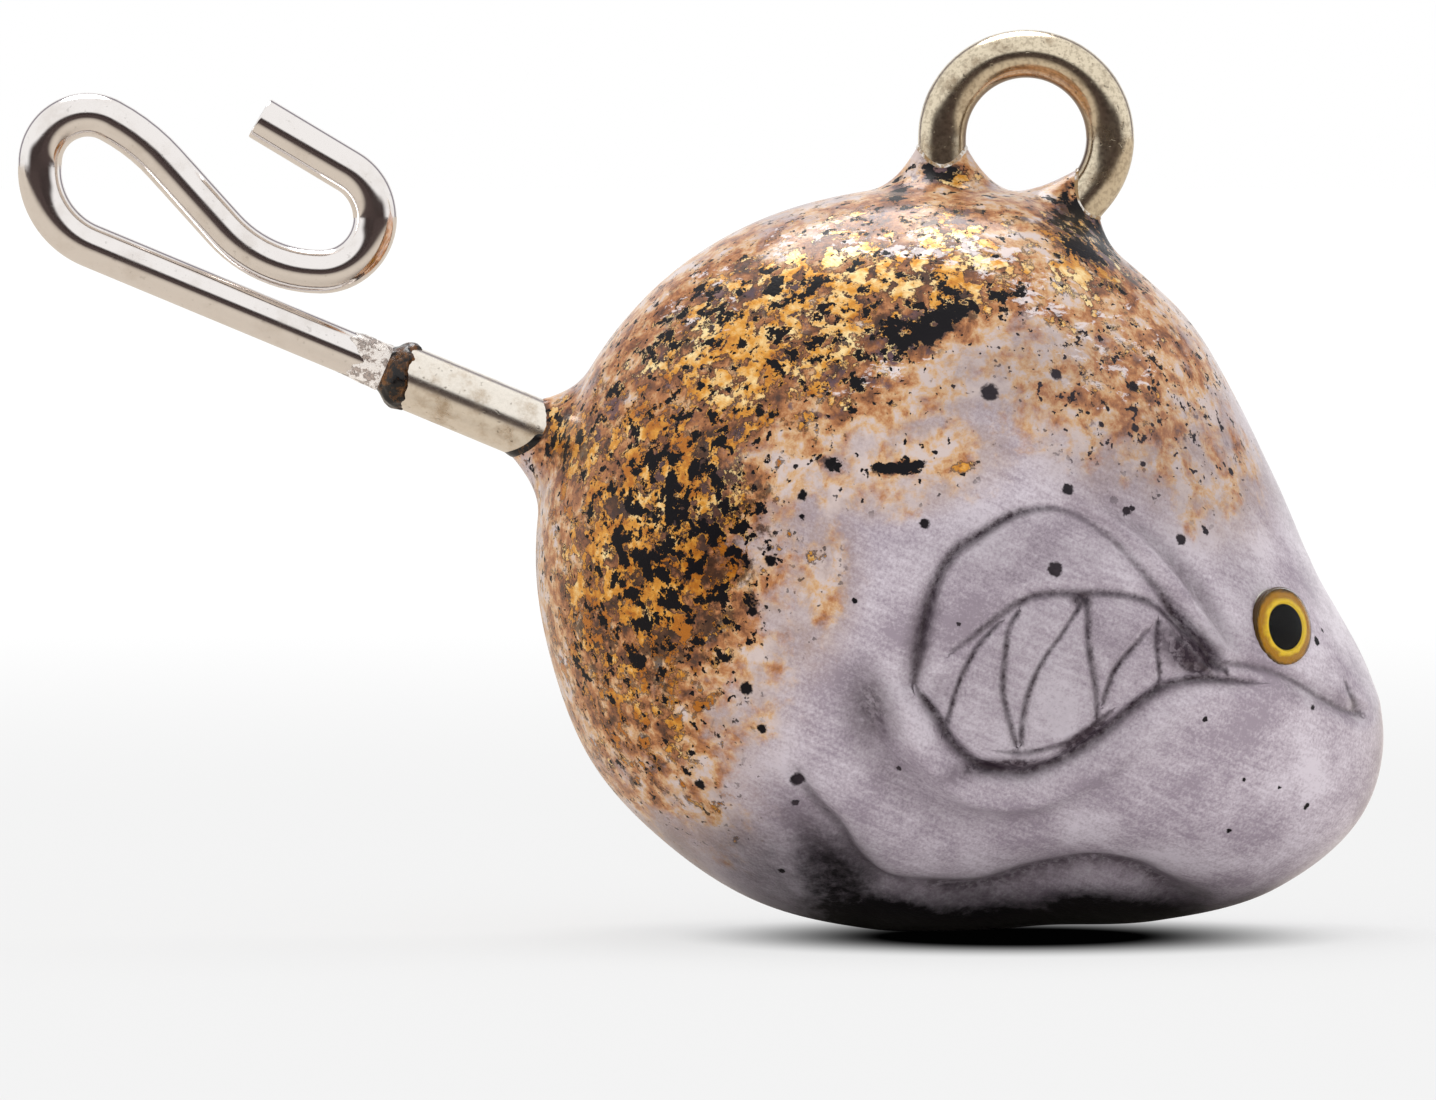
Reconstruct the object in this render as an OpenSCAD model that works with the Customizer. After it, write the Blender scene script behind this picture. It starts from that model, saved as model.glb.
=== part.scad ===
// Fishing sinker: a cast lead fish head with a line ring and a sprung wire clip.
// The head faces +X, and everything made of wire lies in the plane Y = 0.

/* [Lead body] */
// Length of the cast head, from its back to its nose
body_l = 21.2; // [17:0.1:27]
// Height of the cast head, before the belly is filed flat
body_h = 18.7; // [15:0.1:24]
// Width of the cast head across its cheeks
body_w = 15; // [12:0.1:19]
// Depth filed off the belly, so that the sinker stands
belly_flat = 0.08; // [0.04:0.01:0.25]

/* [Carving] */
// Depth of the lip grooves
lip_depth = 0.3; // [0.1:0.02:0.5]
// Width of the lip grooves
lip_w = 0.74; // [0.4:0.02:1]
// Depth of the lines between the teeth
tooth_depth = 0.18; // [0.05:0.01:0.4]
// Width of the lines between the teeth
tooth_w = 0.56; // [0.3:0.02:0.7]
// Depth of the hollow round the mouth
cheek_depth = 0.3; // [0.1:0.05:0.6]
// Width of the hollow round the mouth
cheek_w = 1.7; // [1:0.1:2.5]
// Depth of the hollow under the jaw
jaw_depth = 1.1; // [0.2:0.05:1.6]
// Width of the hollow under the jaw
jaw_w = 3.2; // [2:0.1:4.5]

/* [Line ring] */
// Wire of the ring, with its lacquer
ring_wire_d = 1.2; // [0.9:0.05:1.4]
// Hole of the ring
ring_hole_d = 3; // [2.4:0.1:4]
// Height of the ring's centre above the lead
ring_rise = 1.42; // [1.2:0.05:2]
// Distance of the ring's centre in front of the middle of the head
ring_forward = 1.86; // [1:0.05:2.6]
// Straight stretch of the rear leg
rear_leg_l = 5; // [4:0.1:6.5]
// Straight stretch of the front leg before it turns down
front_leg_l = 2.2; // [1.6:0.1:3]
// Straight stretch of the front leg below its turn
front_drop_l = 0.8; // [0.5:0.1:1.5]
// Bend radius of the turned-out feet
foot_bend_r = 1; // [0.8:0.05:1.4]
// Length of the turned-out feet
foot_l = 0.8; // [0.4:0.1:1.5]

/* [Sleeve] */
// Outer diameter of the metal sleeve
sleeve_od = 1.6; // [1.5:0.05:2]
// Bore of the metal sleeve
sleeve_id = 1.3; // [1.25:0.01:1.4]
// Length of the sleeve that stands out of the head
sleeve_out = 4.25; // [3:0.05:6]
// Length of the sleeve that the lead grips
sleeve_in = 3; // [2:0.1:4.5]
// Distance of the sleeve's axis from the middle of the head
sleeve_drop = 1; // [0.5:0.05:1.6]

/* [Clip] */
// Wire of the clip
clip_wire_d = 1.1; // [0.9:0.05:1.15]
// Length of the shank between the sleeve's mouth and the bend
shank_out = 8.35; // [7:0.05:10]
// Length of the shank inside the sleeve
shank_in = 6.8; // [4:0.1:6.9]
// Lower radius of the bend
bend_low_r = 2.05; // [1.7:0.05:2.4]
// Upper radius of the bend
bend_high_r = 1.2; // [1.1:0.05:1.35]
// Straight wire between the two radii of the bend
bend_flat_l = 0.175; // [0.1:0.025:0.4]
// Radius of the arm's first, downward curve
arm_down_r = 5; // [4:0.1:5.4]
// Straight stretch in the middle of the arm
arm_middle_l = 2.2; // [2:0.05:2.3]
// Radius of the arm's curve along the shank
arm_level_r = 3.25; // [3:0.05:3.4]
// Radius of the curl at the arm's end
curl_r = 1.35; // [1.1:0.05:1.6]
// Straight cut end of the arm
tip_l = 2.6; // [1.5:0.1:3.2]

/* [Eyes] */
// Diameter of an eye
eye_d = 2; // [1.6:0.05:2.4]
// Diameter of a pupil
pupil_d = 1.1; // [0.8:0.05:1.3]
// Height of the clear dome over the eye
dome_h = 0.42; // [0.3:0.02:0.6]
// Thickness of the coloured disc
iris_t = 0.2; // [0.15:0.01:0.3]
// Thickness of the black pupil
pupil_t = 0.06; // [0.04:0.01:0.1]
// Thickness of the adhesive pad
pad_t = 0.1; // [0.06:0.01:0.15]

/* [Lacquer and glue] */
// Thickness of the paint bead at the sleeve's mouth
mouth_bead_t = 0.1; // [0.05:0.01:0.2]
// Length of the paint bead along the sleeve
mouth_bead_l = 0.7; // [0.4:0.05:1]
// Length of the paint bead along the wire
mouth_cone_l = 0.4; // [0.2:0.05:0.7]
// Thickness of the collars round the sleeve and the ring's legs
collar_t = 0.12; // [0.06:0.01:0.2]
// Length of those collars
collar_l = 0.5; // [0.3:0.05:0.8]
// Radius of the concave flare where metal leaves the lead
flare_r = 0.9; // [0.5:0.05:1.2]

/* [Hidden] */

// Gap between a cast-in or glued-on piece and what holds it
seat_gap = 0.01;
// Overrun of every cut
overrun = 1;
// Smoothness of the round metal
$fn = 48;

// Silhouette of the head from the side: its radius every 15 degrees, counter-clockwise from the nose,
// as a share of a nominal radius. The named length and height stretch it afterwards.
outline_shares = [0.90, 0.828, 0.815, 0.84, 0.865, 0.925, 0.935, 0.948, 0.974, 0.998, 1.014, 1.028,
                  1.03, 1.022, 1.022, 0.998, 0.978, 0.946, 0.93, 0.943, 1.038, 1.152, 1.20, 1.095];
outline_step = 360 / len(outline_shares);

// Cubic curve through b and c, with a and d as the neighbours that set its slopes
function curve(a, b, c, d, t) =
    (2 * b + (c - a) * t + (2 * a - 5 * b + 4 * c - d) * t * t + (3 * b - a - 3 * c + d) * t * t * t) / 2;
function wrap(i) = (i + len(outline_shares)) % len(outline_shares);
function raw_radius(angle) =
    let (whole = (angle % 360 + 360) % 360, i = floor(whole / outline_step), t = whole / outline_step - i)
    curve(outline_shares[wrap(i - 1)], outline_shares[i], outline_shares[wrap(i + 1)],
          outline_shares[wrap(i + 2)], t);

raw_points = [for (angle = [0 : 1 : 359]) raw_radius(angle) * [cos(angle), sin(angle)]];
raw_x = [for (p = raw_points) p.x];
raw_z = [for (p = raw_points) p.y];
stretch_x = body_l / (max(raw_x) - min(raw_x));
stretch_z = body_h / (max(raw_z) - min(raw_z));
nose_x = max(raw_x) * stretch_x;
belly_z = min(raw_z) * stretch_z;

// Share of the way from the middle of the head to its silhouette at which a point of the side view lies
function depth_share(p) =
    let (q = [p.x / stretch_x, p.y / stretch_z])
    norm(q) == 0 ? 0 : norm(q) / raw_radius(atan2(q.y, q.x));

// Distance from a point inside the silhouette to its edge, in a direction
function edge_distance(p, way, low = 0, high = body_l, turn = 0) =
    let (middle = (low + high) / 2)
    turn == edge_halvings ? middle
    : depth_share(p + middle * way) < 1 ? edge_distance(p, way, middle, high, turn + 1)
    : edge_distance(p, way, low, middle, turn + 1);
edge_halvings = 18;

// Half width of the smooth head at a point of the side view
fullness = 2.15;
function half_width(p) = body_w / 2 * pow(max(0, 1 - pow(depth_share(p), fullness)), 1 / fullness);

// Carved lines of the face, as shares of the head's length and height from its middle
upper_lip_shares = [[-0.042, -0.167], [-0.032, -0.09], [-0.004, -0.003], [0.045, 0.044], [0.10, 0.068],
                    [0.145, 0.066], [0.19, 0.045], [0.236, 0.003], [0.277, -0.053], [0.32, -0.118], [0.38, -0.15]];
gum_shares = [[-0.004, -0.128], [0.03, -0.096], [0.065, -0.066], [0.10, -0.048], [0.134, -0.041],
              [0.204, -0.048], [0.256, -0.066], [0.287, -0.10], [0.32, -0.144]];
lower_lip_shares = [[-0.042, -0.167], [-0.01, -0.226], [0.024, -0.27], [0.083, -0.289], [0.117, -0.277],
                    [0.186, -0.226], [0.256, -0.175], [0.324, -0.155], [0.40, -0.162], [0.448, -0.187], [0.50, -0.21]];
tooth_shares = [[[-0.006, -0.214], [0.024, -0.136], [0.07, -0.064]],
                [[0.086, -0.062], [0.063, -0.15], [0.078, -0.25]],
                [[0.145, -0.066], [0.106, -0.15], [0.083, -0.246]],
                [[0.169, -0.05], [0.169, -0.136], [0.18, -0.203]],
                [[0.245, -0.078], [0.20, -0.148], [0.185, -0.191]],
                [[0.247, -0.082], [0.25, -0.125], [0.256, -0.167]]];
cheek_shares = [[-0.12, -0.10], [-0.118, -0.18], [-0.095, -0.27], [-0.05, -0.34], [0.03, -0.37],
                [0.11, -0.34], [0.19, -0.28], [0.25, -0.235]];
brow_shares = [[-0.11, 0.13], [-0.03, 0.165], [0.06, 0.17], [0.15, 0.13], [0.22, 0.05]];
jaw_share = [0.16, -0.455];
mouth_share = [0.11, -0.13];

function place(share) = [share.x * body_l, share.y * body_h];
curve_steps = 4;
// A smooth line through places given as shares
function carved_line(shares) =
    let (p = [for (s = shares) place(s)], last = len(p) - 1)
    [for (i = [0 : last - 1], k = [0 : curve_steps - 1])
        curve(p[max(0, i - 1)], p[i], p[i + 1], p[min(last, i + 2)], k / curve_steps), p[last]];
upper_lip = carved_line(upper_lip_shares);
gum_line = carved_line(gum_shares);
lower_lip = carved_line(lower_lip_shares);
tooth_lines = [for (shares = tooth_shares) carved_line(shares)];
cheek_line = carved_line(cheek_shares);
brow_line = carved_line(brow_shares);

function segment_gap(p, a, b) =
    let (along = b - a, t = max(0, min(1, (p - a) * along / (along * along))))
    norm(p - a - t * along);
function line_gap(p, line) = min([for (i = [0 : len(line) - 2]) segment_gap(p, line[i], line[i + 1])]);
// A groove's depth at a distance from its middle
function groove(gap, width, depth) = depth * exp(-pow(2 * gap / width, 2));
brow_depth_share = 0.6;
gum_depth_share = 0.8;

// How far the carving sinks the surface at a point of the side view
function carving(p) =
    max([groove(line_gap(p, upper_lip), lip_w, lip_depth),
         groove(line_gap(p, lower_lip), lip_w, lip_depth),
         groove(line_gap(p, gum_line), lip_w, lip_depth * gum_depth_share),
         for (line = tooth_lines) groove(line_gap(p, line), tooth_w, tooth_depth)])
    + groove(line_gap(p, cheek_line), cheek_w, cheek_depth)
    + groove(line_gap(p, brow_line), cheek_w, cheek_depth * brow_depth_share)
    + groove(norm(p - place(jaw_share)), jaw_w, jaw_depth) * half_width(p) / (body_w / 2);

// The head is a net of rays from the middle of the mouth, with even rings over the mouth and others that
// crowd towards the edge
rays = 96;
mouth_rings = 16;
outer_rings = 12;
rings = mouth_rings + outer_rings;
mouth_ring_angle = 30;
function ring_share(ring) =
    ring <= mouth_rings ? sin(mouth_ring_angle) * ring / mouth_rings
    : sin(mouth_ring_angle + (90 - mouth_ring_angle) * (ring - mouth_rings) / outer_rings);
mouth = place(mouth_share);
ray_ways = [for (i = [0 : rays - 1]) [cos(i * 360 / rays), sin(i * 360 / rays)]];
ray_lengths = [for (way = ray_ways) edge_distance(mouth, way)];
function side_point(ray, ring) =
    mouth + ray_lengths[ray] * ring_share(ring) * ray_ways[ray];
function sunk(p, amount) = p * (1 - amount / norm(p));
function skin_point(p, side) = sunk([p.x, side * half_width(p), p.y], carving(p));

// Middle of a face: the point of the mouth itself, then its rings, then the shared silhouette
near_points = [for (ring = [1 : rings - 1], ray = [0 : rays - 1]) skin_point(side_point(ray, ring), -1)];
far_points = [for (p = near_points) [p.x, -p.y, p.z]];
edge_points = [for (ray = [0 : rays - 1])
    let (p = side_point(ray, rings)) sunk([p.x, 0, p.y], carving(p))];
near_middle = skin_point(mouth, -1);
far_middle = [near_middle.x, -near_middle.y, near_middle.z];
head_points = concat([near_middle, far_middle], near_points, far_points, edge_points);

face_points = len(near_points);
function near_index(ring, ray) =
    ring == rings ? 2 + 2 * face_points + ray % rays : 2 + (ring - 1) * rays + ray % rays;
function far_index(ring, ray) =
    ring == rings ? near_index(ring, ray) : face_points + near_index(ring, ray);
head_faces = [
    for (ray = [0 : rays - 1]) each [
        [0, near_index(1, ray + 1), near_index(1, ray)],
        [1, far_index(1, ray), far_index(1, ray + 1)]],
    for (ring = [1 : rings - 1], ray = [0 : rays - 1]) each [
        [near_index(ring, ray), near_index(ring, ray + 1), near_index(ring + 1, ray + 1)],
        [near_index(ring, ray), near_index(ring + 1, ray + 1), near_index(ring + 1, ray)],
        [far_index(ring, ray), far_index(ring + 1, ray + 1), far_index(ring, ray + 1)],
        [far_index(ring, ray), far_index(ring + 1, ray), far_index(ring + 1, ray + 1)]]];

// Wire paths are laid in the side view by a pen: [its place, its heading]
function ahead(pen, l) = [pen[0] + l * [cos(pen[1]), sin(pen[1])], pen[1]];
function round_left(pen, r, turn) =
    let (side = sign(turn), hub = pen[0] + side * r * [-sin(pen[1]), cos(pen[1])], spoke = pen[1] - side * 90 + turn)
    [hub + r * [cos(spoke), sin(spoke)], pen[1] + turn];
// Pens along a bend, from its start to its end: a turn above zero goes left, and one below zero goes right
bend_step = 7.5;
function bend_pens(pen, r, turn) =
    let (steps = ceil(abs(turn) / bend_step))
    [for (i = [0 : steps]) i == 0 ? pen : round_left(pen, r, turn * i / steps)];

// A round bar along the pen's heading
module bar(pen, l, r) {
    translate([pen[0].x, 0, pen[0].y])
        rotate([0, 90 - pen[1], 0])
            cylinder(h = l, r = r);
}

// A bent round wire through a row of pens, with flat ends
wire_sides = 20;
module wire(pens, r) {
    last = len(pens) - 1;
    points = [for (pen = pens, i = [0 : wire_sides - 1])
        let (a = i * 360 / wire_sides, out = r * cos(a))
        [pen[0].x - out * sin(pen[1]), r * sin(a), pen[0].y + out * cos(pen[1])]];
    walls = [for (k = [0 : last - 1], i = [0 : wire_sides - 1])
        let (a = k * wire_sides, b = a + wire_sides, j = (i + 1) % wire_sides)
        each [[a + i, a + j, b + j], [a + i, b + j, b + i]]];
    ends = [[for (i = [wire_sides - 1 : -1 : 0]) i],
            [for (i = [0 : wire_sides - 1]) last * wire_sides + i]];
    polyhedron(points = points, faces = concat(walls, ends), convexity = 6);
}

// Sleeve and clip
sleeve_angle = 157.4;
low_turn = -67.4;
high_turn = -118;
down_turn = -20;
level_turn = 48;
curl_turn = 149;
sleeve_way = [cos(sleeve_angle), sin(sleeve_angle)];
sleeve_foot = sleeve_drop * [sin(sleeve_angle) * -1, cos(sleeve_angle)];
root_pen = ahead([sleeve_foot, sleeve_angle], edge_distance(sleeve_foot, sleeve_way));
sleeve_pen = ahead(root_pen, -sleeve_in);
mouth_pen = ahead(root_pen, sleeve_out);
shank_pen = ahead(mouth_pen, -shank_in);
bend_pen = ahead(mouth_pen, shank_out);
bend_flat_pen = round_left(bend_pen, bend_low_r, low_turn);
bend_high_pen = ahead(bend_flat_pen, bend_flat_l);
arm_pen = round_left(bend_high_pen, bend_high_r, high_turn);
arm_middle_pen = round_left(arm_pen, arm_down_r, down_turn);
arm_level_pen = ahead(arm_middle_pen, arm_middle_l);
curl_pen = round_left(arm_level_pen, arm_level_r, level_turn);
tip_pen = round_left(curl_pen, curl_r, curl_turn);
clip_r = clip_wire_d / 2;
sleeve_r = sleeve_od / 2;
clip_left_x = bend_flat_pen[0].x - clip_r;

// Line ring
ring_r = ring_hole_d / 2 + ring_wire_d / 2;
ring_wire_r = ring_wire_d / 2;
ring_foot = [ring_forward, 0];
ring_hub = [ring_forward, edge_distance(ring_foot, [0, 1]) + ring_rise];
ring_front_angle = -40;
ring_sweep = 180 - ring_front_angle;
rear_leg_pen = [ring_hub - [ring_r, 0], -90];
front_leg_pen = [ring_hub + ring_r * [cos(ring_front_angle), sin(ring_front_angle)], ring_front_angle - 90];
foot_turn = 80;
rear_foot_pen = ahead(rear_leg_pen, rear_leg_l);
rear_toe_pen = round_left(rear_foot_pen, foot_bend_r, -foot_turn);
front_turn_pen = ahead(front_leg_pen, front_leg_l);
front_down_turn = -90 - front_turn_pen[1];
front_drop_pen = round_left(front_turn_pen, foot_bend_r, front_down_turn);
front_foot_pen = ahead(front_drop_pen, front_drop_l);
front_toe_pen = round_left(front_foot_pen, foot_bend_r, foot_turn);

// Distance along a leg from the ring to the smooth lead
function to_lead(pen, low = 0, high = body_h, turn = 0) =
    let (middle = (low + high) / 2)
    turn == edge_halvings ? middle
    : depth_share(ahead(pen, middle)[0]) > 1 ? to_lead(pen, middle, min(high, body_h), turn + 1)
    : to_lead(pen, low, middle, turn + 1);
rear_entry = to_lead(rear_leg_pen, 0, rear_leg_l);
front_entry = to_lead(front_leg_pen, 0, front_leg_l);

// Eyes: the place is a share of the head's length and height, and the tilt is from the cheek towards the nose
eye_share = [0.384, -0.079];
eye_yaw = 45;
eye_pitch = 8;
eye_place = place(eye_share);
eye_sink = pad_t + iris_t;
eye_side = half_width(eye_place);

// The part stands on its belly, with its middle over the origin
shift_x = -(nose_x + clip_left_x) / 2;
lift_z = -belly_z - belly_flat;
module seat() translate([shift_x, 0, lift_z]) children();

// Pens of the two legs, each from a distance above the lead, or from the ring, to the end of its foot
function rear_leg_pens(start, extra) =
    [ahead(rear_leg_pen, start), each bend_pens(rear_foot_pen, foot_bend_r, -foot_turn),
     ahead(rear_toe_pen, foot_l + extra)];
function front_leg_pens(start, extra) =
    [ahead(front_leg_pen, start), each bend_pens(front_turn_pen, foot_bend_r, front_down_turn),
     each bend_pens(front_foot_pen, foot_bend_r, foot_turn), ahead(front_toe_pen, foot_l + extra)];
function without_first(pens) = [for (i = [1 : len(pens) - 1]) pens[i]];
function turned_back(pens) = [for (i = [len(pens) - 1 : -1 : 0]) [pens[i][0], pens[i][1] + 180]];

// A concave flare of lead round a bar, from inside the head to where it thins out on the bar
module flare(pen, out, r) {
    translate([pen[0].x, 0, pen[0].y])
        rotate([0, 90 - pen[1], 0])
            rotate_extrude()
                difference() {
                    translate([0, out - 2 * flare_r])
                        square([r + flare_r, 2 * flare_r]);
                    translate([r + flare_r, out])
                        circle(r = flare_r);
                }
}

// A half-round collar round a bar
module collar(pen, r) {
    translate([pen[0].x, 0, pen[0].y])
        rotate([0, 90 - pen[1], 0])
            rotate_extrude()
                polygon([[r + seat_gap, 0],
                         for (a = [0 : 30 : 180])
                             [r + seat_gap + collar_t * sin(a), collar_l / 2 * (1 - cos(a))],
                         [r + seat_gap, collar_l]]);
}

// What faces the viewer on one side of the head, turned to the eye's axis, with its base on the socket's floor
module at_eye(side) {
    translate([eye_place.x, side * eye_side, eye_place.y])
        rotate([0, 0, side * (90 - eye_yaw)])
            rotate([0, 90 - eye_pitch, 0])
                translate([0, 0, -eye_sink])
                    children();
}

flare_skin = 0.06;
sleeve_flare_out = 0.6;
ring_flare_out = 0.35;

module lead_body() {
    color([0.62, 0.56, 0.52])
        seat()
            difference() {
                union() {
                    polyhedron(points = head_points, faces = head_faces, convexity = 6);
                    flare(root_pen, sleeve_flare_out, sleeve_r + flare_skin);
                    flare([ahead(rear_leg_pen, rear_entry)[0], 90], ring_flare_out, ring_wire_r + flare_skin);
                    flare([ahead(front_leg_pen, front_entry)[0], front_leg_pen[1] + 180], ring_flare_out,
                          ring_wire_r + flare_skin);
                }
                bar(ahead(sleeve_pen, -seat_gap), sleeve_in + sleeve_out + overrun, sleeve_r + seat_gap);
                wire(rear_leg_pens(rear_entry - overrun, seat_gap), ring_wire_r + seat_gap);
                wire(front_leg_pens(front_entry - overrun, seat_gap), ring_wire_r + seat_gap);
                for (side = [-1, 1])
                    at_eye(side)
                        cylinder(h = eye_sink + overrun, d = eye_d + 2 * seat_gap);
                translate([-body_l, -body_w, belly_z + belly_flat - body_h])
                    cube([2 * body_l, 2 * body_w, body_h]);
            }
}

module line_ring() {
    color([0.59, 0.51, 0.40])
        seat()
            wire([each turned_back(rear_leg_pens(0, 0)),
                  each without_first(bend_pens([rear_leg_pen[0], 90], ring_r, -ring_sweep)),
                  each without_first(front_leg_pens(0, 0))], ring_wire_r);
}

module ring_rear_bead() {
    color([0.80, 0.72, 0.60])
        seat()
            collar([ahead(rear_leg_pen, rear_entry - ring_flare_out - seat_gap)[0], 90], ring_wire_r);
}

module ring_front_bead() {
    color([0.80, 0.72, 0.60])
        seat()
            collar([ahead(front_leg_pen, front_entry - ring_flare_out - seat_gap)[0], front_leg_pen[1] + 180],
                   ring_wire_r);
}

module clip_sleeve() {
    color([0.84, 0.78, 0.70])
        seat()
            difference() {
                bar(sleeve_pen, sleeve_in + sleeve_out, sleeve_r);
                bar(ahead(sleeve_pen, -overrun), sleeve_in + sleeve_out + 2 * overrun, sleeve_id / 2);
            }
}

module sleeve_root_bead() {
    color([0.16, 0.13, 0.12])
        seat()
            collar(ahead(root_pen, sleeve_flare_out + seat_gap), sleeve_r);
}

// Paint that covers the sleeve's end and closes on the wire
module sleeve_mouth_bead() {
    on_sleeve = sleeve_r + seat_gap;
    on_wire = clip_r + seat_gap;
    full = sleeve_r + mouth_bead_t;
    color([0.22, 0.15, 0.10])
        seat()
            translate([mouth_pen[0].x, 0, mouth_pen[0].y])
                rotate([0, 90 - mouth_pen[1], 0])
                    rotate_extrude()
                        polygon([[on_sleeve, -mouth_bead_l],
                                 [(on_sleeve + full) / 2, -mouth_bead_l + mouth_bead_t],
                                 [full, -mouth_bead_l / 2],
                                 [full, -mouth_bead_t],
                                 [on_sleeve, mouth_cone_l / 2],
                                 [(on_sleeve + on_wire) / 2, mouth_cone_l],
                                 [on_wire, mouth_cone_l],
                                 [on_wire, seat_gap],
                                 [on_sleeve, seat_gap]]);
}

module clip_glue() {
    color([0.86, 0.80, 0.62])
        seat()
            difference() {
                bar(ahead(shank_pen, -seat_gap), shank_in + seat_gap, sleeve_id / 2 - seat_gap);
                bar(ahead(shank_pen, -overrun), shank_in + 2 * overrun, clip_r + seat_gap);
            }
}

module clip_shank() {
    color([0.86, 0.84, 0.83])
        seat()
            bar(shank_pen, shank_in + shank_out, clip_r);
}

module clip_bend() {
    color([0.80, 0.78, 0.78])
        seat()
            wire([each bend_pens(bend_pen, bend_low_r, low_turn),
                  each bend_pens(bend_high_pen, bend_high_r, high_turn)], clip_r);
}

module clip_arm() {
    color([0.86, 0.84, 0.83])
        seat()
            wire([each bend_pens(arm_pen, arm_down_r, down_turn),
                  each bend_pens(arm_level_pen, arm_level_r, level_turn),
                  each without_first(bend_pens(curl_pen, curl_r, curl_turn)),
                  ahead(tip_pen, tip_l)], clip_r);
}

module eye_pad(side) {
    color([0.85, 0.85, 0.80])
        seat()
            at_eye(side)
                translate([0, 0, seat_gap])
                    cylinder(h = pad_t - seat_gap, d = eye_d);
}

module eye_iris(side) {
    color([0.84, 0.68, 0.12])
        seat()
            at_eye(side)
                difference() {
                    translate([0, 0, pad_t])
                        cylinder(h = iris_t, d = eye_d);
                    translate([0, 0, pad_t + iris_t - pupil_t])
                        cylinder(h = pupil_t + overrun, d = pupil_d + 2 * seat_gap);
                }
}

module eye_pupil(side) {
    color([0.04, 0.04, 0.06])
        seat()
            at_eye(side)
                translate([0, 0, pad_t + iris_t - pupil_t])
                    cylinder(h = pupil_t, d = pupil_d);
}

// Clear cap: a slice of a ball whose edge is the eye's edge
module eye_dome(side) {
    dome_r = (eye_d * eye_d / 4 + dome_h * dome_h) / (2 * dome_h);
    color([0.9, 0.95, 1.0, 0.4])
        seat()
            at_eye(side)
                translate([0, 0, pad_t + iris_t])
                    rotate_extrude()
                        intersection() {
                            translate([0, dome_h - dome_r])
                                circle(r = dome_r);
                            square([eye_d, dome_h + overrun]);
                        }
}

lead_body();
line_ring();
ring_rear_bead();
ring_front_bead();
clip_sleeve();
sleeve_root_bead();
sleeve_mouth_bead();
clip_glue();
clip_shank();
clip_bend();
clip_arm();
eye_pad(-1);  // right_eye_pad
eye_iris(-1);  // right_eye_iris
eye_pupil(-1);  // right_eye_pupil
eye_dome(-1);  // right_eye_dome
eye_pad(1);  // left_eye_pad
eye_iris(1);  // left_eye_iris
eye_pupil(1);  // left_eye_pupil
eye_dome(1);  // left_eye_dome
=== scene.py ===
"""Looks of a cast lead fishing sinker: a toothy fish head with a line ring and a sprung wire clip.

Lengths are written in millimetres and turned into metres by MM. The head faces +X, the wires lie in the
plane Y = 0, and the side towards -Y is the one that the photograph shows.
"""

from __future__ import annotations

import logging
import math
from contextlib import contextmanager
from dataclasses import dataclass, field, replace
from enum import Enum
from functools import cached_property
from typing import Iterator, Sequence, Union

import bpy
import numpy as np
from mathutils import Matrix, Vector

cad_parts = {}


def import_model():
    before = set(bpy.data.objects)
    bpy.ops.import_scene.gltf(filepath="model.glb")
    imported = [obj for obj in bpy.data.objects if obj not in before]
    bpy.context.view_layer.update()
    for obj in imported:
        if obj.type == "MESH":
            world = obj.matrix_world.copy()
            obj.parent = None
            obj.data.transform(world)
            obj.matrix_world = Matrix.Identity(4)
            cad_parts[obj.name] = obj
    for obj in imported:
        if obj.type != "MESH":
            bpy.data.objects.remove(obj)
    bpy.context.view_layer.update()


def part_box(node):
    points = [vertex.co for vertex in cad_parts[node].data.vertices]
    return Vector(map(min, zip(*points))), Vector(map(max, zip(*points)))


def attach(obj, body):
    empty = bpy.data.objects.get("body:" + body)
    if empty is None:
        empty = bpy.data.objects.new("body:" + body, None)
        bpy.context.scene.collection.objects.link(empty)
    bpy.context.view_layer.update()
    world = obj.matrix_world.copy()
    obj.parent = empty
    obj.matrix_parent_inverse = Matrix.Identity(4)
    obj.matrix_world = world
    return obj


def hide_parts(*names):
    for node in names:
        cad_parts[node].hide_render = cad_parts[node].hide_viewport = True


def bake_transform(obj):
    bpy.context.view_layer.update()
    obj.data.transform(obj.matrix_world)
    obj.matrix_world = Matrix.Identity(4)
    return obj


LOG = logging.getLogger("sinker")
MM = 0.001
SMALL = 1e-9
HALVINGS = 40
INK_LAYERS = 4
NO_INK = (9.0, 0.0, 1.0)
WHITE = (1.0, 1.0, 1.0)
Piece = bpy.types.Object
Skin = bpy.types.Material
Socket = bpy.types.NodeSocket
Colour = tuple[float, float, float]
Feed = Union[Socket, float, tuple]
Profile = Sequence[tuple[float, float]]
Line = tuple[tuple[float, float, float], ...]


class Body(Enum):
    """The two bodies of the sinker: all that is cast or glued together, and the sprung arm."""

    SINKER = "sinker"
    ARM = "clip_arm"


class Side(Enum):
    """The two sides of the head, with the sign of their Y."""

    RIGHT = -1
    LEFT = 1


# Bench: the operators that pieces are made with


def let_go() -> None:
    """Leaves every object unselected."""
    bpy.ops.object.select_all(action="DESELECT")


def take(piece: Piece) -> None:
    """Selects one piece alone and makes it active."""
    let_go()
    piece.select_set(True)
    bpy.context.view_layer.objects.active = piece


@contextmanager
def editing(piece: Piece, mode: str = "FACE") -> Iterator[None]:
    """Holds one piece in edit mode.

    Args:
        piece: The piece to edit.
        mode: What is selected there: VERT, EDGE or FACE.

    Yields:
        Nothing; operators act on the piece's own selection meanwhile.
    """
    take(piece)
    bpy.ops.object.mode_set(mode="EDIT")
    bpy.ops.mesh.select_mode(type=mode)
    try:
        yield
    finally:
        bpy.ops.object.mode_set(mode="OBJECT")


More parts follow.
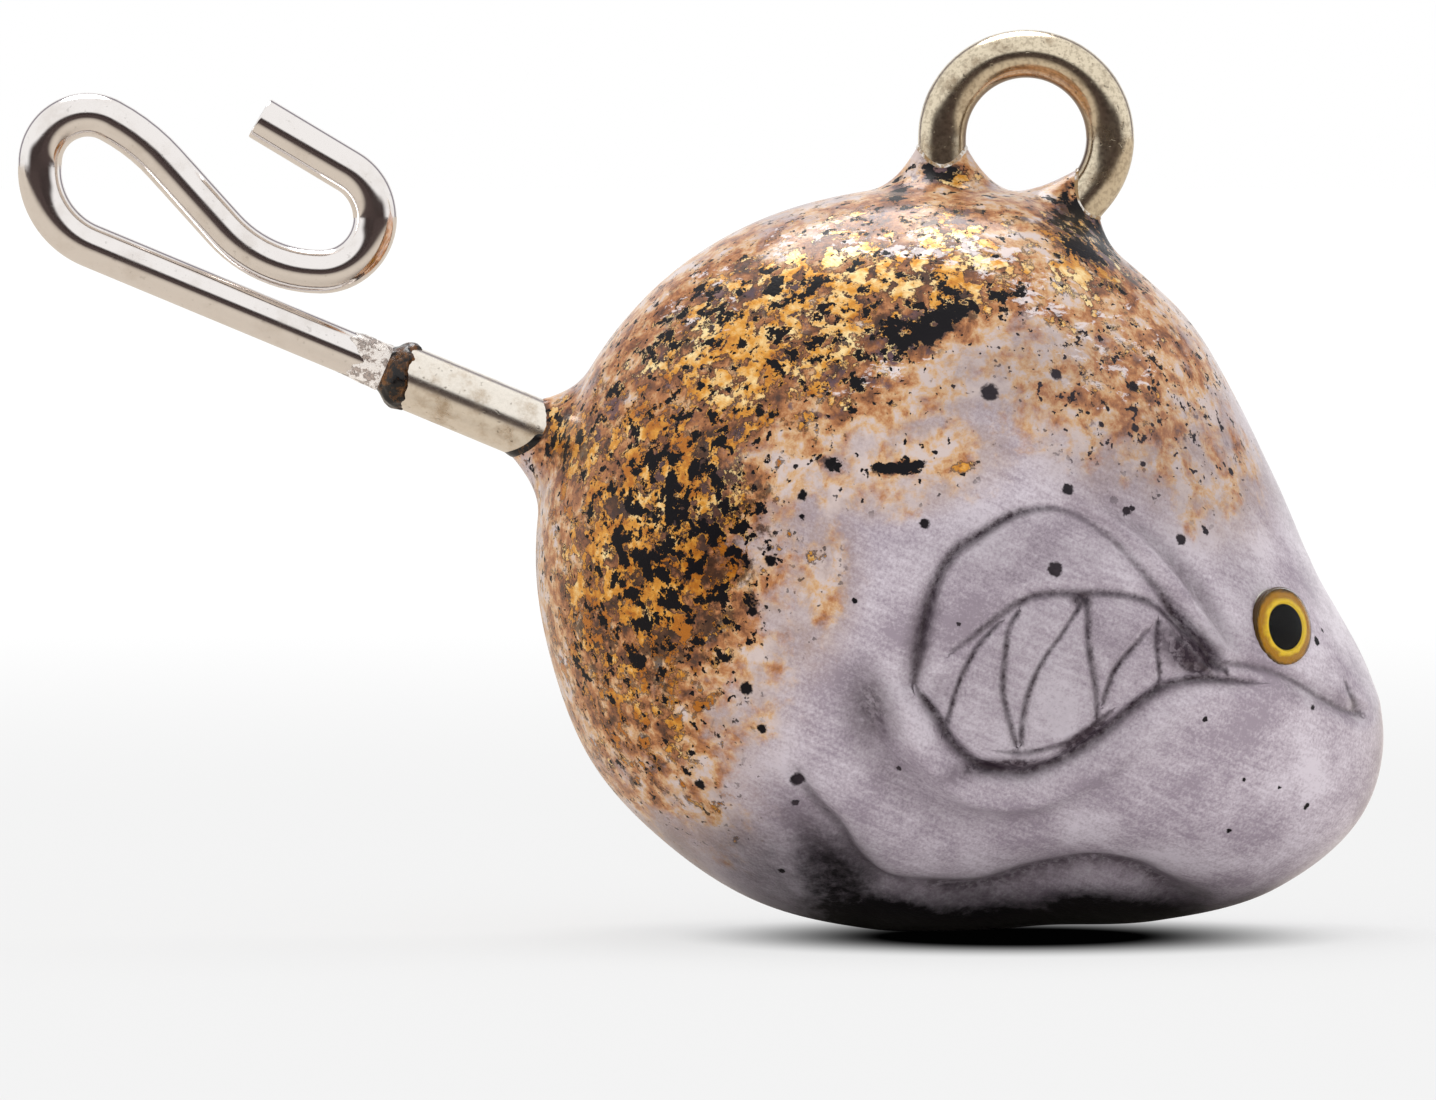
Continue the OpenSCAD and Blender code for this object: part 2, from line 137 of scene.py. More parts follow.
def settle(piece: Piece, crease: float = 40.0) -> Piece:
    """Applies a piece's place, points its faces outwards and shades it smooth up to an angle.

    Args:
        piece: The finished shape.
        crease: Angle in degrees above which an edge stays sharp.

    Returns:
        The same piece.
    """
    take(piece)
    bpy.ops.object.transform_apply(location=True, rotation=True, scale=True)
    with editing(piece):
        bpy.ops.mesh.select_all(action="SELECT")
        bpy.ops.mesh.remove_doubles(threshold=0.00002 * MM)
        bpy.ops.mesh.normals_make_consistent(inside=False)
    bpy.ops.object.shade_smooth_by_angle(angle=math.radians(crease))
    let_go()
    return piece


def upright_to(axis: Vector) -> Matrix:
    """The turn that takes +Z to an axis of any length."""
    return axis.to_track_quat("Z", "Y").to_matrix().to_4x4()


def round_axis(points: np.ndarray, place: Vector, way: Vector) -> tuple[np.ndarray, np.ndarray, np.ndarray]:
    """Splits points by an axis.

    Args:
        points: N points of three coordinates.
        place: A point of the axis.
        way: The axis, of any length.

    Returns:
        Their distances along the axis, their directions away from it and how far away they are.
    """
    axis = np.array(way.normalized())
    from_place = points - np.array(place)
    along = from_place @ axis
    across = from_place - along[:, None] * axis
    away = np.linalg.norm(across, axis=1)
    return along, across / np.maximum(away, SMALL)[:, None], away


def beyond(radius: float, profile: Profile) -> list[tuple[float, float]]:
    """A lathe's section from points in millimetres: how far past a radius, and how far up the axis."""
    return [(radius + out * MM, up * MM) for out, up in profile]


def spun(name: str, section: Profile, place: Vector, axis: Vector, steps: int = 72) -> Piece:
    """Turns a closed section round an axis, as on a lathe.

    Args:
        name: The piece's name.
        section: Points of (radius, height along the axis), in metres, round the section.
        place: Where height zero of the axis lies.
        axis: Direction of the axis.
        steps: Steps of the full turn.

    Returns:
        The finished piece.
    """
    let_go()
    bpy.ops.mesh.primitive_circle_add(vertices=len(section), radius=MM, fill_type="NOTHING")
    piece = bpy.context.active_object
    piece.name = piece.data.name = name
    for vertex, (radius, height) in zip(piece.data.vertices, section):
        vertex.co = (radius, 0.0, height)
    with editing(piece, "EDGE"):
        bpy.ops.mesh.select_all(action="SELECT")
        bpy.ops.mesh.spin(steps=steps, angle=math.tau, center=(0, 0, 0), axis=(0, 0, 1))
        bpy.ops.mesh.select_all(action="SELECT")
        bpy.ops.mesh.remove_doubles(threshold=0.0005 * MM)
        bpy.ops.mesh.dissolve_degenerate(threshold=0.0001 * MM)
    piece.data.transform(Matrix.Translation(place) @ upright_to(axis))
    return settle(piece)


@dataclass(frozen=True)
class Pen:
    """A point of the plane Y = 0 and the heading there, in degrees from +X towards +Z."""

    x: float
    z: float
    heading: float

    @property
    def place(self) -> Vector:
        """The pen's point in space."""
        return Vector((self.x, 0.0, self.z))

    @property
    def way(self) -> Vector:
        """Unit vector along the heading."""
        angle = math.radians(self.heading)
        return Vector((math.cos(angle), 0.0, math.sin(angle)))

    def ahead(self, length: float) -> "Pen":
        """The pen after a straight stretch of that length."""
        point = self.place + self.way * length
        return Pen(point.x, point.z, self.heading)

    def hub(self, radius: float, turn: float) -> Vector:
        """The middle of a bend of that radius, on the left for a turn above zero."""
        way = self.way
        return self.place + Vector((-way.z, 0.0, way.x)) * math.copysign(radius, turn)

    def turned(self, radius: float, turn: float) -> "Pen":
        """The pen after a bend of that radius through that many degrees."""
        hub = self.hub(radius, turn)
        spoke = Matrix.Rotation(math.radians(turn), 3, Vector((0, -1, 0))) @ (self.place - hub)
        point = hub + spoke
        return Pen(point.x, point.z, self.heading + turn)

    def reversed(self) -> "Pen":
        """The same point with the heading turned back."""
        return Pen(self.x, self.z, self.heading + 180.0)


@dataclass(frozen=True)
class Straight:
    """A straight stretch of wire."""

    length: float


@dataclass(frozen=True)
class Bend:
    """A round bend of wire: its radius, and its turn in degrees, above zero to the left."""

    radius: float
    turn: float


@dataclass
class WireShaper:
    """Bends round wire: a disc of its section is extruded along straights and spun round bends."""

    radius: float
    sides: int = 40
    bend_step: float = 4.0
    end_round: float = 0.0

    def shape(self, name: str, start: Pen, moves: Sequence[Union[Straight, Bend]]) -> tuple[Piece, Pen]:
        """Makes one length of wire.

        Args:
            name: The piece's name.
            start: Where the wire starts and where it heads.
            moves: Its straights and bends in order.

        Returns:
            The piece and the pen at its far end.
        """
        let_go()
        bpy.ops.mesh.primitive_circle_add(vertices=self.sides, radius=self.radius, fill_type="NGON")
        piece = bpy.context.active_object
        piece.name = piece.data.name = name
        piece.data.transform(Matrix.Translation(start.place) @ upright_to(start.way))
        pen = start
        with editing(piece):
            bpy.ops.mesh.select_all(action="SELECT")
            for move in moves:
                if isinstance(move, Straight):
                    self._draw_out(pen.way * move.length)
                    pen = pen.ahead(move.length)
                else:
                    self._bend(pen, move)
                    pen = pen.turned(move.radius, move.turn)
            if self.end_round > 0.0:
                bpy.ops.mesh.bevel(offset=self.end_round, segments=3, affect="EDGES")
        return settle(piece, 50.0), pen

    def _draw_out(self, way: Vector) -> None:
        """Extrudes the selected end along a vector."""
        bpy.ops.mesh.extrude_region_move(TRANSFORM_OT_translate={"value": tuple(way)})

    def _bend(self, pen: Pen, move: Bend) -> None:
        """Spins the selected end round the hub of a bend that starts at the pen."""
        steps = max(2, math.ceil(abs(move.turn) / self.bend_step))
        hub = pen.hub(move.radius, move.turn)
        bpy.ops.mesh.spin(steps=steps, angle=math.radians(move.turn), center=tuple(hub), axis=(0, 1, 0))


def fit(piece: Piece, finish: Skin, slot: str, nodes: Sequence[str], body: Body = Body.SINKER) -> None:
    """Gives a piece its finish and its place in the sinker.

    Args:
        piece: The finished shape.
        finish: Its material.
        slot: The record's material slot that the finish belongs to.
        nodes: CAD nodes that it stands for.
        body: The body that it rides on.
    """
    piece.data.materials.clear()
    piece.data.materials.append(finish)
    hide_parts(*nodes)
    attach(piece, body.value)
    LOG.info("%s: %d faces, %s, slot %s", piece.name, len(piece.data.polygons), body.value, slot)


# Photograph: where it was taken from, and where it sees a point


@dataclass(frozen=True)
class PhotoView:
    """The photograph's viewing angle. A long lens looks along +Y and a little down."""

    width_px: float = 1436.0
    height_px: float = 1100.0
    pixel: float = 0.025 * MM
    origin_px: tuple[float, float] = (701.5, 930.0)
    lens: float = 400.0
    sensor: float = 36.0
    elevation: float = math.radians(2.0)

    @property
    def target(self) -> Vector:
        """The point of the plane Y = 0 in the middle of the picture."""
        middle_x = self.width_px / 2 - self.origin_px[0]
        middle_z = self.origin_px[1] - self.height_px / 2
        return Vector((middle_x, 0.0, middle_z)) * self.pixel

    @property
    def distance(self) -> float:
        """Distance from the lens to the target at which a pixel has its size."""
        return self.lens / self.sensor * self.width_px * self.pixel

    @property
    def eye(self) -> Vector:
        """Where the camera stands."""
        back = Vector((0.0, -math.cos(self.elevation), math.sin(self.elevation)))
        return self.target + back * self.distance

    def set_camera(self) -> None:
        """Adds the scene's camera."""
        data = bpy.data.cameras.new("photo_camera")
        data.lens = self.lens
        data.sensor_width = self.sensor
        data.clip_start = 0.01
        data.clip_end = 20.0
        camera = bpy.data.objects.new("photo_camera", data)
        bpy.context.scene.collection.objects.link(camera)
        camera.location = self.eye
        camera.rotation_euler = (math.pi / 2 - self.elevation, 0.0, 0.0)
        bpy.context.scene.camera = camera

    def seen(self, points: np.ndarray) -> np.ndarray:
        """Where the photograph shows points of the head, with its far side mirrored to the near one.

        Args:
            points: N points of three coordinates, in metres.

        Returns:
            N pixel places, across and down.
        """
        near_side = np.column_stack([points[:, 0], -np.abs(points[:, 1]), points[:, 2]])
        from_eye = near_side - np.array(self.eye)
        sin_e, cos_e = math.sin(self.elevation), math.cos(self.elevation)
        depth = from_eye @ np.array((0.0, cos_e, -sin_e))
        rise = from_eye @ np.array((0.0, sin_e, cos_e))
        scale = self.lens / self.sensor * self.width_px / depth
        across = self.width_px / 2 + from_eye[:, 0] * scale
        return np.column_stack([across, self.height_px / 2 - rise * scale])


# Head: its smooth form, its carving and its paint


def smooth_through(a: np.ndarray, b: np.ndarray, c: np.ndarray, d: np.ndarray, t: np.ndarray) -> np.ndarray:
    """A cubic curve from b, where t is 0, to c, where it is 1, with slopes that come from a and d."""
    return (2 * b + (c - a) * t + (2 * a - 5 * b + 4 * c - d) * t**2 + (3 * b - a - 3 * c + d) * t**3) / 2


@dataclass(frozen=True)
class HeadForm:
    """The smooth cast head: an outline in the side view, crowned towards both cheeks."""

    length: float = 21.2 * MM
    height: float = 18.7 * MM
    width: float = 15.0 * MM
    belly_flat: float = 0.08 * MM
    fullness: float = 2.15
    # Radius of the side view every 15 degrees, counter-clockwise from the nose, as a share of a nominal one
    outline_shares: tuple[float, ...] = (
        0.90, 0.828, 0.815, 0.84, 0.865, 0.925, 0.935, 0.948, 0.974, 0.998, 1.014, 1.028,
        1.03, 1.022, 1.022, 0.998, 0.978, 0.946, 0.93, 0.943, 1.038, 1.152, 1.20, 1.095,
    )

    def raw_radius(self, degrees: np.ndarray) -> np.ndarray:
        """Radius of the outline before it is stretched to the named length and height."""
        shares = np.array(self.outline_shares)
        count = len(shares)
        place = np.mod(degrees, 360.0) / (360.0 / count)
        i = np.floor(place).astype(int) % count
        around = [shares[(i + step) % count] for step in (-1, 0, 1, 2)]
        return smooth_through(*around, place - np.floor(place))

    @cached_property
    def raw_outline(self) -> np.ndarray:
        """Points of the outline before it is stretched, one a degree."""
        around = np.arange(360.0)
        raw = self.raw_radius(around)
        return np.column_stack([raw * np.cos(np.radians(around)), raw * np.sin(np.radians(around))])

    @cached_property
    def stretch(self) -> np.ndarray:
        """What takes the raw outline to the named length and height."""
        return np.array((self.length, self.height)) / np.ptp(self.raw_outline, axis=0)

    @cached_property
    def middle(self) -> np.ndarray:
        """The outline's middle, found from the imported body's nose and from the flat under its belly."""
        reach = self.raw_outline[:, 0].max() * self.stretch[0]
        drop = self.raw_outline[:, 1].min() * self.stretch[1]
        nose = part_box("lead_body")[1].x
        return np.array((nose - reach, -drop - self.belly_flat))

    def depth_share(self, p: np.ndarray) -> np.ndarray:
        """Share of the way from the middle to the outline at which points of the side view lie."""
        q = (p - self.middle) / self.stretch
        far = np.hypot(q[:, 0], q[:, 1])
        return far / self.raw_radius(np.degrees(np.arctan2(q[:, 1], q[:, 0])))

    def half_width(self, p: np.ndarray) -> np.ndarray:
        """Distance from the plane Y = 0 to the smooth cheek at points of the side view."""
        share = np.clip(self.depth_share(p), 0.0, 1.0)
        return self.width / 2 * (1.0 - share**self.fullness) ** (1.0 / self.fullness)

    def reach(self, start: np.ndarray, ways: np.ndarray) -> np.ndarray:
        """Distance from one inner point to the outline in several directions.

        Args:
            start: A point of the side view.
            ways: N unit vectors.

        Returns:
            N distances.
        """
        low, high = np.zeros(len(ways)), np.full(len(ways), self.length)
        for _ in range(HALVINGS):
            half = (low + high) / 2
            inside = self.depth_share(start + ways * half[:, None]) < 1.0
            low, high = np.where(inside, half, low), np.where(inside, high, half)
        return (low + high) / 2


@dataclass(frozen=True)
class Stroke:
    """A carved or painted line on the cheek.

    Its points are pixels of the photograph with the strength of the tool there. Depth sinks the lead, and
    a depth below zero raises it. Ink is a crisp line, and shade is painted shade, a soft dark band along
    the line. Lines that come close to each other are drawn in different layers.
    """

    points: Line
    width: float = 0.3 * MM
    depth: float = 0.0
    ink: float = 0.0
    ink_width: float = 0.1 * MM
    layer: int = 0
    shade: float = 0.0
    shade_width: float = 0.3 * MM
    steps: int = 6
    reach: float = 3.2
    lightest: float = 0.3

    def line(self) -> np.ndarray:
        """The smooth line through the points, with its strengths."""
        p = np.array(self.points, float)
        last = len(p) - 1
        rows = []
        for i in range(last):
            t = np.arange(self.steps)[:, None] / self.steps
            rows.append(smooth_through(p[max(0, i - 1)], p[i], p[i + 1], p[min(last, i + 2)], t))
        return np.vstack([*rows, p[last:]])

    def near(self, seen: np.ndarray, pixel: float) -> tuple[np.ndarray, np.ndarray, np.ndarray]:
        """Finds the points of the cheek that a stroke can touch.

        Args:
            seen: N pixel places.
            pixel: Size of a pixel in metres.

        Returns:
            The indices of those points, their distances in metres, below zero on one side of the line, and
            the stroke's strength beside each.
        """
        line = self.line()
        margin = self.reach * max(self.width, self.shade_width, self.ink_width) / pixel
        low, high = line[:, :2].min(0) - margin, line[:, :2].max(0) + margin
        picked = np.flatnonzero(np.all((seen >= low) & (seen <= high), axis=1))
        at = seen[picked]
        gap = np.full(len(picked), np.inf)
        side = np.ones(len(picked))
        strength = np.zeros(len(picked))
        for a, b in zip(line[:-1], line[1:]):
            along = b[:2] - a[:2]
            from_a = at - a[:2]
            t = np.clip(from_a @ along / max(along @ along, SMALL), 0.0, 1.0)
            away = np.hypot(*(from_a - t[:, None] * along).T)
            nearer = away < gap
            gap = np.where(nearer, away, gap)
            side = np.where(nearer, np.sign(along[0] * from_a[:, 1] - along[1] * from_a[:, 0]), side)
            strength = np.where(nearer, a[2] + (b[2] - a[2]) * t, strength)
        return picked, gap * side * pixel, strength


@dataclass(frozen=True)
class Patch:
    """A soft oval on the head: its middle and half axes in pixels, its tilt in degrees and its strength."""

    x: float
    y: float
    across: float
    along: float
    tilt: float = 0.0
    strength: float = 1.0
    fall: float = 1.5

    def weight(self, seen: np.ndarray) -> np.ndarray:
        """The patch's strength at pixel places, fading smoothly to its edge and a little past it."""
        angle = math.radians(self.tilt)
        dx, dy = seen[:, 0] - self.x, seen[:, 1] - self.y
        u = (dx * math.cos(angle) + dy * math.sin(angle)) / self.across
        v = (dy * math.cos(angle) - dx * math.sin(angle)) / self.along
        return self.strength * np.exp(-((u * u + v * v) ** self.fall))


def ovals(*rows: tuple[float, ...]) -> tuple[Patch, ...]:
    """Several soft ovals, each from its row of values."""
    return tuple(Patch(*row) for row in rows)


@dataclass(frozen=True)
class Root:
    """Where a wire or sleeve leaves the lead, and the concave flare of lead and lacquer round it.

    The flare climbs highest in the plane of the wires, where the mould's halves met, and less in front.
    """

    place: Vector
    way: Vector
    metal: float
    rise: float
    spread: float
    front_share: float = 0.5
    lean: float = 0.0
    lean_way: Vector = field(default_factory=lambda: Vector((0, 0, 1)))
    fall: float = 2.3
    most: float = 1.12
    inner_end: float = -3.0 * MM
    edge_band: float = 0.09 * MM
    edge_reach: float = 2.5 * MM
    waves: int = 3

    def lift(self, points: np.ndarray) -> np.ndarray:
        """How far the flare draws points out along the metal.

        Args:
            points: N points in metres.

        Returns:
            N lengths.
        """
        along, outwards, away = round_axis(points, self.place, self.way)
        lean = self.lean * (outwards @ np.array(self.lean_way.normalized()))
        front = (1.0 - self.front_share) * outwards[:, 1] ** 2
        rise = self.rise * (1.0 + (lean - front) * np.clip(away / self.metal, 0.0, 1.0))
        rest = np.clip(1.0 - (away - self.metal) / self.spread, 0.0, self.most)
        return np.where(along > self.inner_end, rise * rest**self.fall, 0.0)

    def rim(self, points: np.ndarray, angles: np.ndarray) -> np.ndarray:
        """How high the finished lead stands round the metal, smoothed to a gentle wave.

        Args:
            points: Points of the finished head.
            angles: The directions to look in.

        Returns:
            The distance along the metal in each direction.
        """
        along, outwards, away = round_axis(points, self.place, self.way)
        close = (np.abs(away - self.metal) < self.edge_band) & (np.abs(along) < self.edge_reach)
        wave = np.linalg.lstsq(self._waves(self.angle(outwards[close])), along[close], rcond=None)[0]
        return self._waves(angles) @ wave

    def _waves(self, angles: np.ndarray) -> np.ndarray:
        """A level and waves of growing count, at angles round the metal."""
        waves = [turn(k * angles) for k in range(1, self.waves + 1) for turn in (np.cos, np.sin)]
        return np.column_stack([np.ones(len(angles)), *waves])

    def angle(self, outwards: np.ndarray) -> np.ndarray:
        """Directions round the metal's axis, from the plane of the wires."""
        in_plane = np.cross(np.array(self.way.normalized()), (0.0, 1.0, 0.0))
        return np.arctan2(outwards[:, 1], outwards @ in_plane)


@dataclass
class Carving:
    """All that is cut into the face and painted on the head, placed by the photograph's pixels."""

    view: PhotoView
    lines: tuple[Stroke, ...] = (
        # Upper lip
        Stroke(((914, 683, 0.6), (917, 659, 0.8), (928, 609, 1.0), (941, 572, 1.0), (958, 549, 1.0),
            (972, 540, 0.95), (1005, 519, 0.8), (1027, 511, 0.6), (1050, 508, 0.45), (1075, 514, 0.35),
            (1098, 528, 0.3), (1121, 547, 0.32), (1144, 572, 0.4), (1162, 593, 0.55), (1185, 622, 0.8),
            (1208, 650, 1.0), (1224, 668, 1.0)), width=0.26 * MM, depth=0.26 * MM, ink=0.92,
            ink_width=0.125 * MM, shade=0.35, shade_width=0.34 * MM),
        # Lip roll
        Stroke(((1080, 500, 0.2), (1121, 530, 0.8), (1155, 563, 1.0), (1185, 602, 1.0), (1210, 637, 1.0),
            (1230, 662, 0.5)), width=0.3 * MM, depth=-0.28 * MM),
        # Lip shadow
        Stroke(((1098, 496, 0.2), (1121, 513, 0.5), (1155, 541, 0.8), (1182, 570, 1.0), (1206, 602, 1.0),
            (1226, 634, 0.8), (1243, 658, 0.3)), width=0.32 * MM, depth=0.16 * MM, shade=0.7,
            shade_width=0.3 * MM),
        # Gum line
        Stroke(((953, 652, 0.45), (972, 638, 0.7), (995, 620, 0.85), (1018, 604, 0.95), (1041, 595, 1.0),
            (1077, 593, 1.0), (1110, 593, 0.9), (1132, 596, 0.8), (1155, 603, 0.85), (1172, 616, 1.0),
            (1186, 630, 0.9)), width=0.28 * MM, depth=0.18 * MM, ink=0.8, ink_width=0.09 * MM, layer=1,
            shade=0.4, shade_width=0.26 * MM),
        # Lower lip
        Stroke(((917, 691, 0.4), (926, 704, 0.9), (938, 722, 1.0), (947, 739, 1.0), (963, 757, 1.0),
            (983, 770, 1.0), (1018, 777, 1.0), (1041, 772, 1.0), (1064, 762, 1.0), (1087, 748, 1.0),
            (1110, 730, 1.0), (1132, 711, 1.0), (1160, 691, 1.0), (1185, 682, 0.9), (1213, 679, 0.85),
            (1240, 682, 0.6), (1258, 683, 0.3)), width=0.28 * MM, depth=0.3 * MM, ink=0.95,
            ink_width=0.11 * MM, layer=1, shade=0.4, shade_width=0.3 * MM),
        # Lower bead
        Stroke(((998, 752, 0.4), (1022, 754, 0.9), (1050, 749, 0.9), (1075, 740, 0.9), (1092, 728, 0.9),
            (1112, 712, 0.7)), width=0.14 * MM, depth=0.08 * MM, ink=0.75, ink_width=0.065 * MM, layer=3),
        # Jaw line
        Stroke(((1216, 662, 0.9), (1247, 665, 0.9), (1271, 670, 0.8), (1295, 680, 0.75), (1320, 695, 0.8),
            (1344, 708, 0.9), (1362, 714, 0.9)), width=0.22 * MM, depth=0.2 * MM, ink=0.6,
            ink_width=0.07 * MM, layer=3, shade=0.35, shade_width=0.3 * MM),
        # Hook tooth
        Stroke(((1350, 684, 0.6), (1356, 697, 1.0), (1363, 711, 1.0)), width=0.16 * MM, depth=0.1 * MM,
            ink=0.8, ink_width=0.07 * MM),
        # Cheek trough
        Stroke(((862, 700, 0.7), (866, 730, 1.0), (880, 762, 1.0), (905, 794, 0.85), (940, 820, 0.7),
            (985, 826, 0.55), (1029, 818, 0.45), (1062, 800, 0.35), (1094, 780, 0.2)), width=0.78 * MM,
            depth=0.5 * MM, shade=0.34, shade_width=0.42 * MM),
        # Lower roll
        Stroke(((900, 700, 0.5), (918, 744, 0.9), (940, 775, 1.0), (975, 800, 1.0), (1018, 806, 1.0),
            (1054, 797, 1.0), (1090, 777, 0.9), (1124, 750, 0.8), (1156, 722, 0.6), (1190, 706, 0.4)),
            width=0.42 * MM, depth=-0.3 * MM),
        # Gill edge
        Stroke(((797, 778, 0.5), (803, 792, 0.8), (818, 813, 1.0), (836, 831, 1.0), (850, 857, 1.0),
            (868, 878, 0.9), (883, 889, 0.7), (903, 896, 0.4)), width=0.34 * MM, depth=0.34 * MM, ink=0.5,
            ink_width=0.12 * MM, shade=0.5, shade_width=0.3 * MM),
        # Gill shade
        Stroke(((770, 795, 0.3), (792, 822, 0.8), (816, 852, 1.0), (838, 880, 1.0), (862, 900, 0.7)),
            width=0.8 * MM, depth=0.3 * MM, shade=0.75, shade_width=0.62 * MM),
        # Jaw edge
        Stroke(((872, 892, 0.4), (903, 896, 0.7), (932, 902, 1.0), (968, 908, 1.0), (997, 906, 1.0),
            (1032, 896, 1.0), (1062, 890, 1.0), (1091, 885, 1.0), (1126, 888, 1.0), (1146, 894, 1.0),
            (1166, 904, 1.0), (1196, 911, 0.6)), width=0.5 * MM, depth=0.4 * MM, shade=0.8,
            shade_width=0.4 * MM),
        # Brow
        Stroke(((862, 470, 0.4), (905, 452, 0.8), (960, 440, 1.0), (1030, 442, 0.9), (1095, 466, 0.6),
            (1140, 505, 0.3)), width=1.2 * MM, depth=0.16 * MM),
    )
    long_teeth: tuple[Line, ...] = (
        ((1018, 613, 0.75), (1009, 631, 0.9), (1005, 659, 1.0), (1003, 687, 1.0), (1006, 710, 1.0),
         (1012, 732, 1.0), (1016, 746, 0.9)),
        ((1089, 600, 1.0), (1089, 641, 1.0), (1093, 670, 1.0), (1097, 693, 1.0), (1098, 718, 0.9)),
        ((1160, 622, 0.9), (1158, 641, 0.8), (1160, 664, 0.8), (1162, 684, 0.8)),
    )
    slant_teeth: tuple[Line, ...] = (
        ((999, 624, 0.6), (978, 647, 0.8), (964, 672, 0.9), (955, 696, 0.9), (948, 721, 0.9),
         (944, 736, 0.7)),
        ((1082, 604, 0.8), (1064, 632, 0.6), (1043, 662, 0.75), (1029, 693, 0.95), (1023, 721, 1.0),
         (1021, 745, 0.9)),
        ((1149, 630, 0.5), (1132, 650, 0.8), (1116, 670, 0.9), (1108, 690, 0.9), (1104, 704, 0.6)),
    )
    tooth: Stroke = Stroke((), width=0.22 * MM, depth=0.14 * MM, ink=0.88, ink_width=0.07 * MM)
    snout: Stroke = Stroke(
        ((1310, 556, 0.2), (1332, 592, 0.7), (1354, 632, 1.0), (1372, 668, 0.8), (1384, 700, 0.2)),
        width=0.9 * MM, depth=0.24 * MM,
    )
    # Painted shade: soft dark ovals in the mouth, in creases and over parts of the face.
    shades: tuple[Patch, ...] = ovals(
        (1190, 652, 36, 26, 25, 1.0), (1170, 640, 24, 24, 0, 0.8), (1196, 660, 30, 18, 20, 1.2),
        (922, 636, 17, 62, 12, 0.8), (1055, 665, 150, 118, 0, 0.34), (1030, 555, 120, 50, 0, 0.34),
        (1150, 480, 100, 90, 30, 0.32), (1030, 375, 100, 50, -10, 0.3), (942, 690, 18, 24, 0, 0.4),
        (1082, 600, 14, 11, 0, 1.0), (870, 712, 30, 54, -14, 0.8), (896, 776, 36, 24, 50, 0.4),
        (1005, 768, 62, 12, -4, 1.0), (1085, 738, 44, 12, -35, 1.0), (1316, 694, 50, 14, 22, 0.4),
        (1240, 575, 26, 60, -28, 0.26), (1250, 636, 22, 24, 0, 0.3),
    )
    gilding: tuple[Patch, ...] = ovals(
        (645, 540, 118, 215, 6, 1.0), (790, 330, 210, 100, -30, 1.0), (925, 268, 140, 60, -6, 0.95),
        (1080, 262, 62, 48, 45, 0.85), (1110, 350, 120, 84, 45, 0.45), (640, 700, 92, 96, -20, 0.8),
        (705, 770, 80, 52, 45, 0.5), (962, 467, 24, 10, -10, 0.8), (570, 430, 44, 36, 0, 1.0),
        (958, 180, 22, 14, 0, 1.1), (1130, 408, 64, 20, 10, 0.4), (800, 560, 36, 60, 0, 0.35),
    )
    copper: tuple[Patch, ...] = ovals(
        (640, 560, 158, 300, 6, 1.0), (690, 320, 150, 100, -38, 1.0), (830, 330, 270, 140, -28, 1.0),
        (1000, 250, 230, 96, 8, 1.0), (1110, 350, 150, 122, 45, 0.85), (1190, 450, 70, 110, -35, 0.6),
        (905, 468, 110, 48, -12, 0.74), (815, 590, 48, 100, 10, 0.5), (670, 780, 110, 80, 40, 0.56),
        (1090, 210, 60, 50, 0, 1.0), (950, 180, 70, 40, 0, 1.0), (560, 430, 60, 60, 0, 1.0),
    )
    tarnish: tuple[Patch, ...] = ovals(
        (675, 540, 96, 170, 8, 1.0), (640, 430, 66, 100, 0, 0.7), (600, 600, 34, 150, 4, 0.6),
        (560, 440, 40, 34, 0, 0.9), (926, 326, 70, 22, -26, 1.35), (885, 352, 34, 12, -18, 1.25),
        (795, 287, 52, 15, -4, 1.15), (985, 296, 80, 20, 16, 0.7), (830, 330, 170, 80, -28, 0.66),
        (700, 330, 110, 50, -38, 0.82), (930, 215, 150, 22, -4, 0.5), (902, 188, 34, 12, -20, 1.0),
        (830, 384, 60, 18, -10, 0.7), (895, 468, 30, 7, -8, 1.5), (1084, 236, 50, 26, 38, 1.35),
        (938, 172, 24, 12, 4, 1.5), (1080, 206, 22, 14, -24, 1.4), (1064, 200, 8, 20, 12, 1.0),
        (534, 436, 9, 24, -6, 1.5), (541, 408, 8, 9, 0, 1.3), (560, 444, 20, 12, 0, 0.9),
        (830, 462, 14, 8, 30, 1.2), (640, 740, 90, 80, 0, 0.36), (1150, 390, 120, 110, 40, 0.34),
        (1110, 260, 40, 60, -40, 0.55),
    )
    # Painted highlight: pale streaks over the top of the head.
    painted_highlight: tuple[Patch, ...] = ovals(
        (935, 250, 120, 22, 4, 1.0), (1035, 296, 44, 26, 35, 0.9), (880, 372, 60, 14, -16, 0.8),
        (800, 240, 60, 20, -20, 0.6), (700, 300, 60, 40, -40, 0.5), (1110, 350, 80, 60, 45, 0.5),
    )
    # Under the belly and chin: black paint, with painted shade where they face the table.
    belly_black_and_shade: tuple[Patch, ...] = ovals(
        (1030, 938, 230, 44, 0, 1.3), (900, 924, 130, 34, 12, 1.2), (836, 882, 64, 44, 45, 0.95),
        (1180, 908, 60, 24, -10, 0.6), (770, 876, 80, 40, 36, 0.62), (1120, 920, 120, 30, 0, 1.2),
        (1240, 916, 90, 22, -14, 0.9), (1085, 908, 70, 22, 0, 1.1), (690, 862, 60, 22, 40, 0.3),
    )
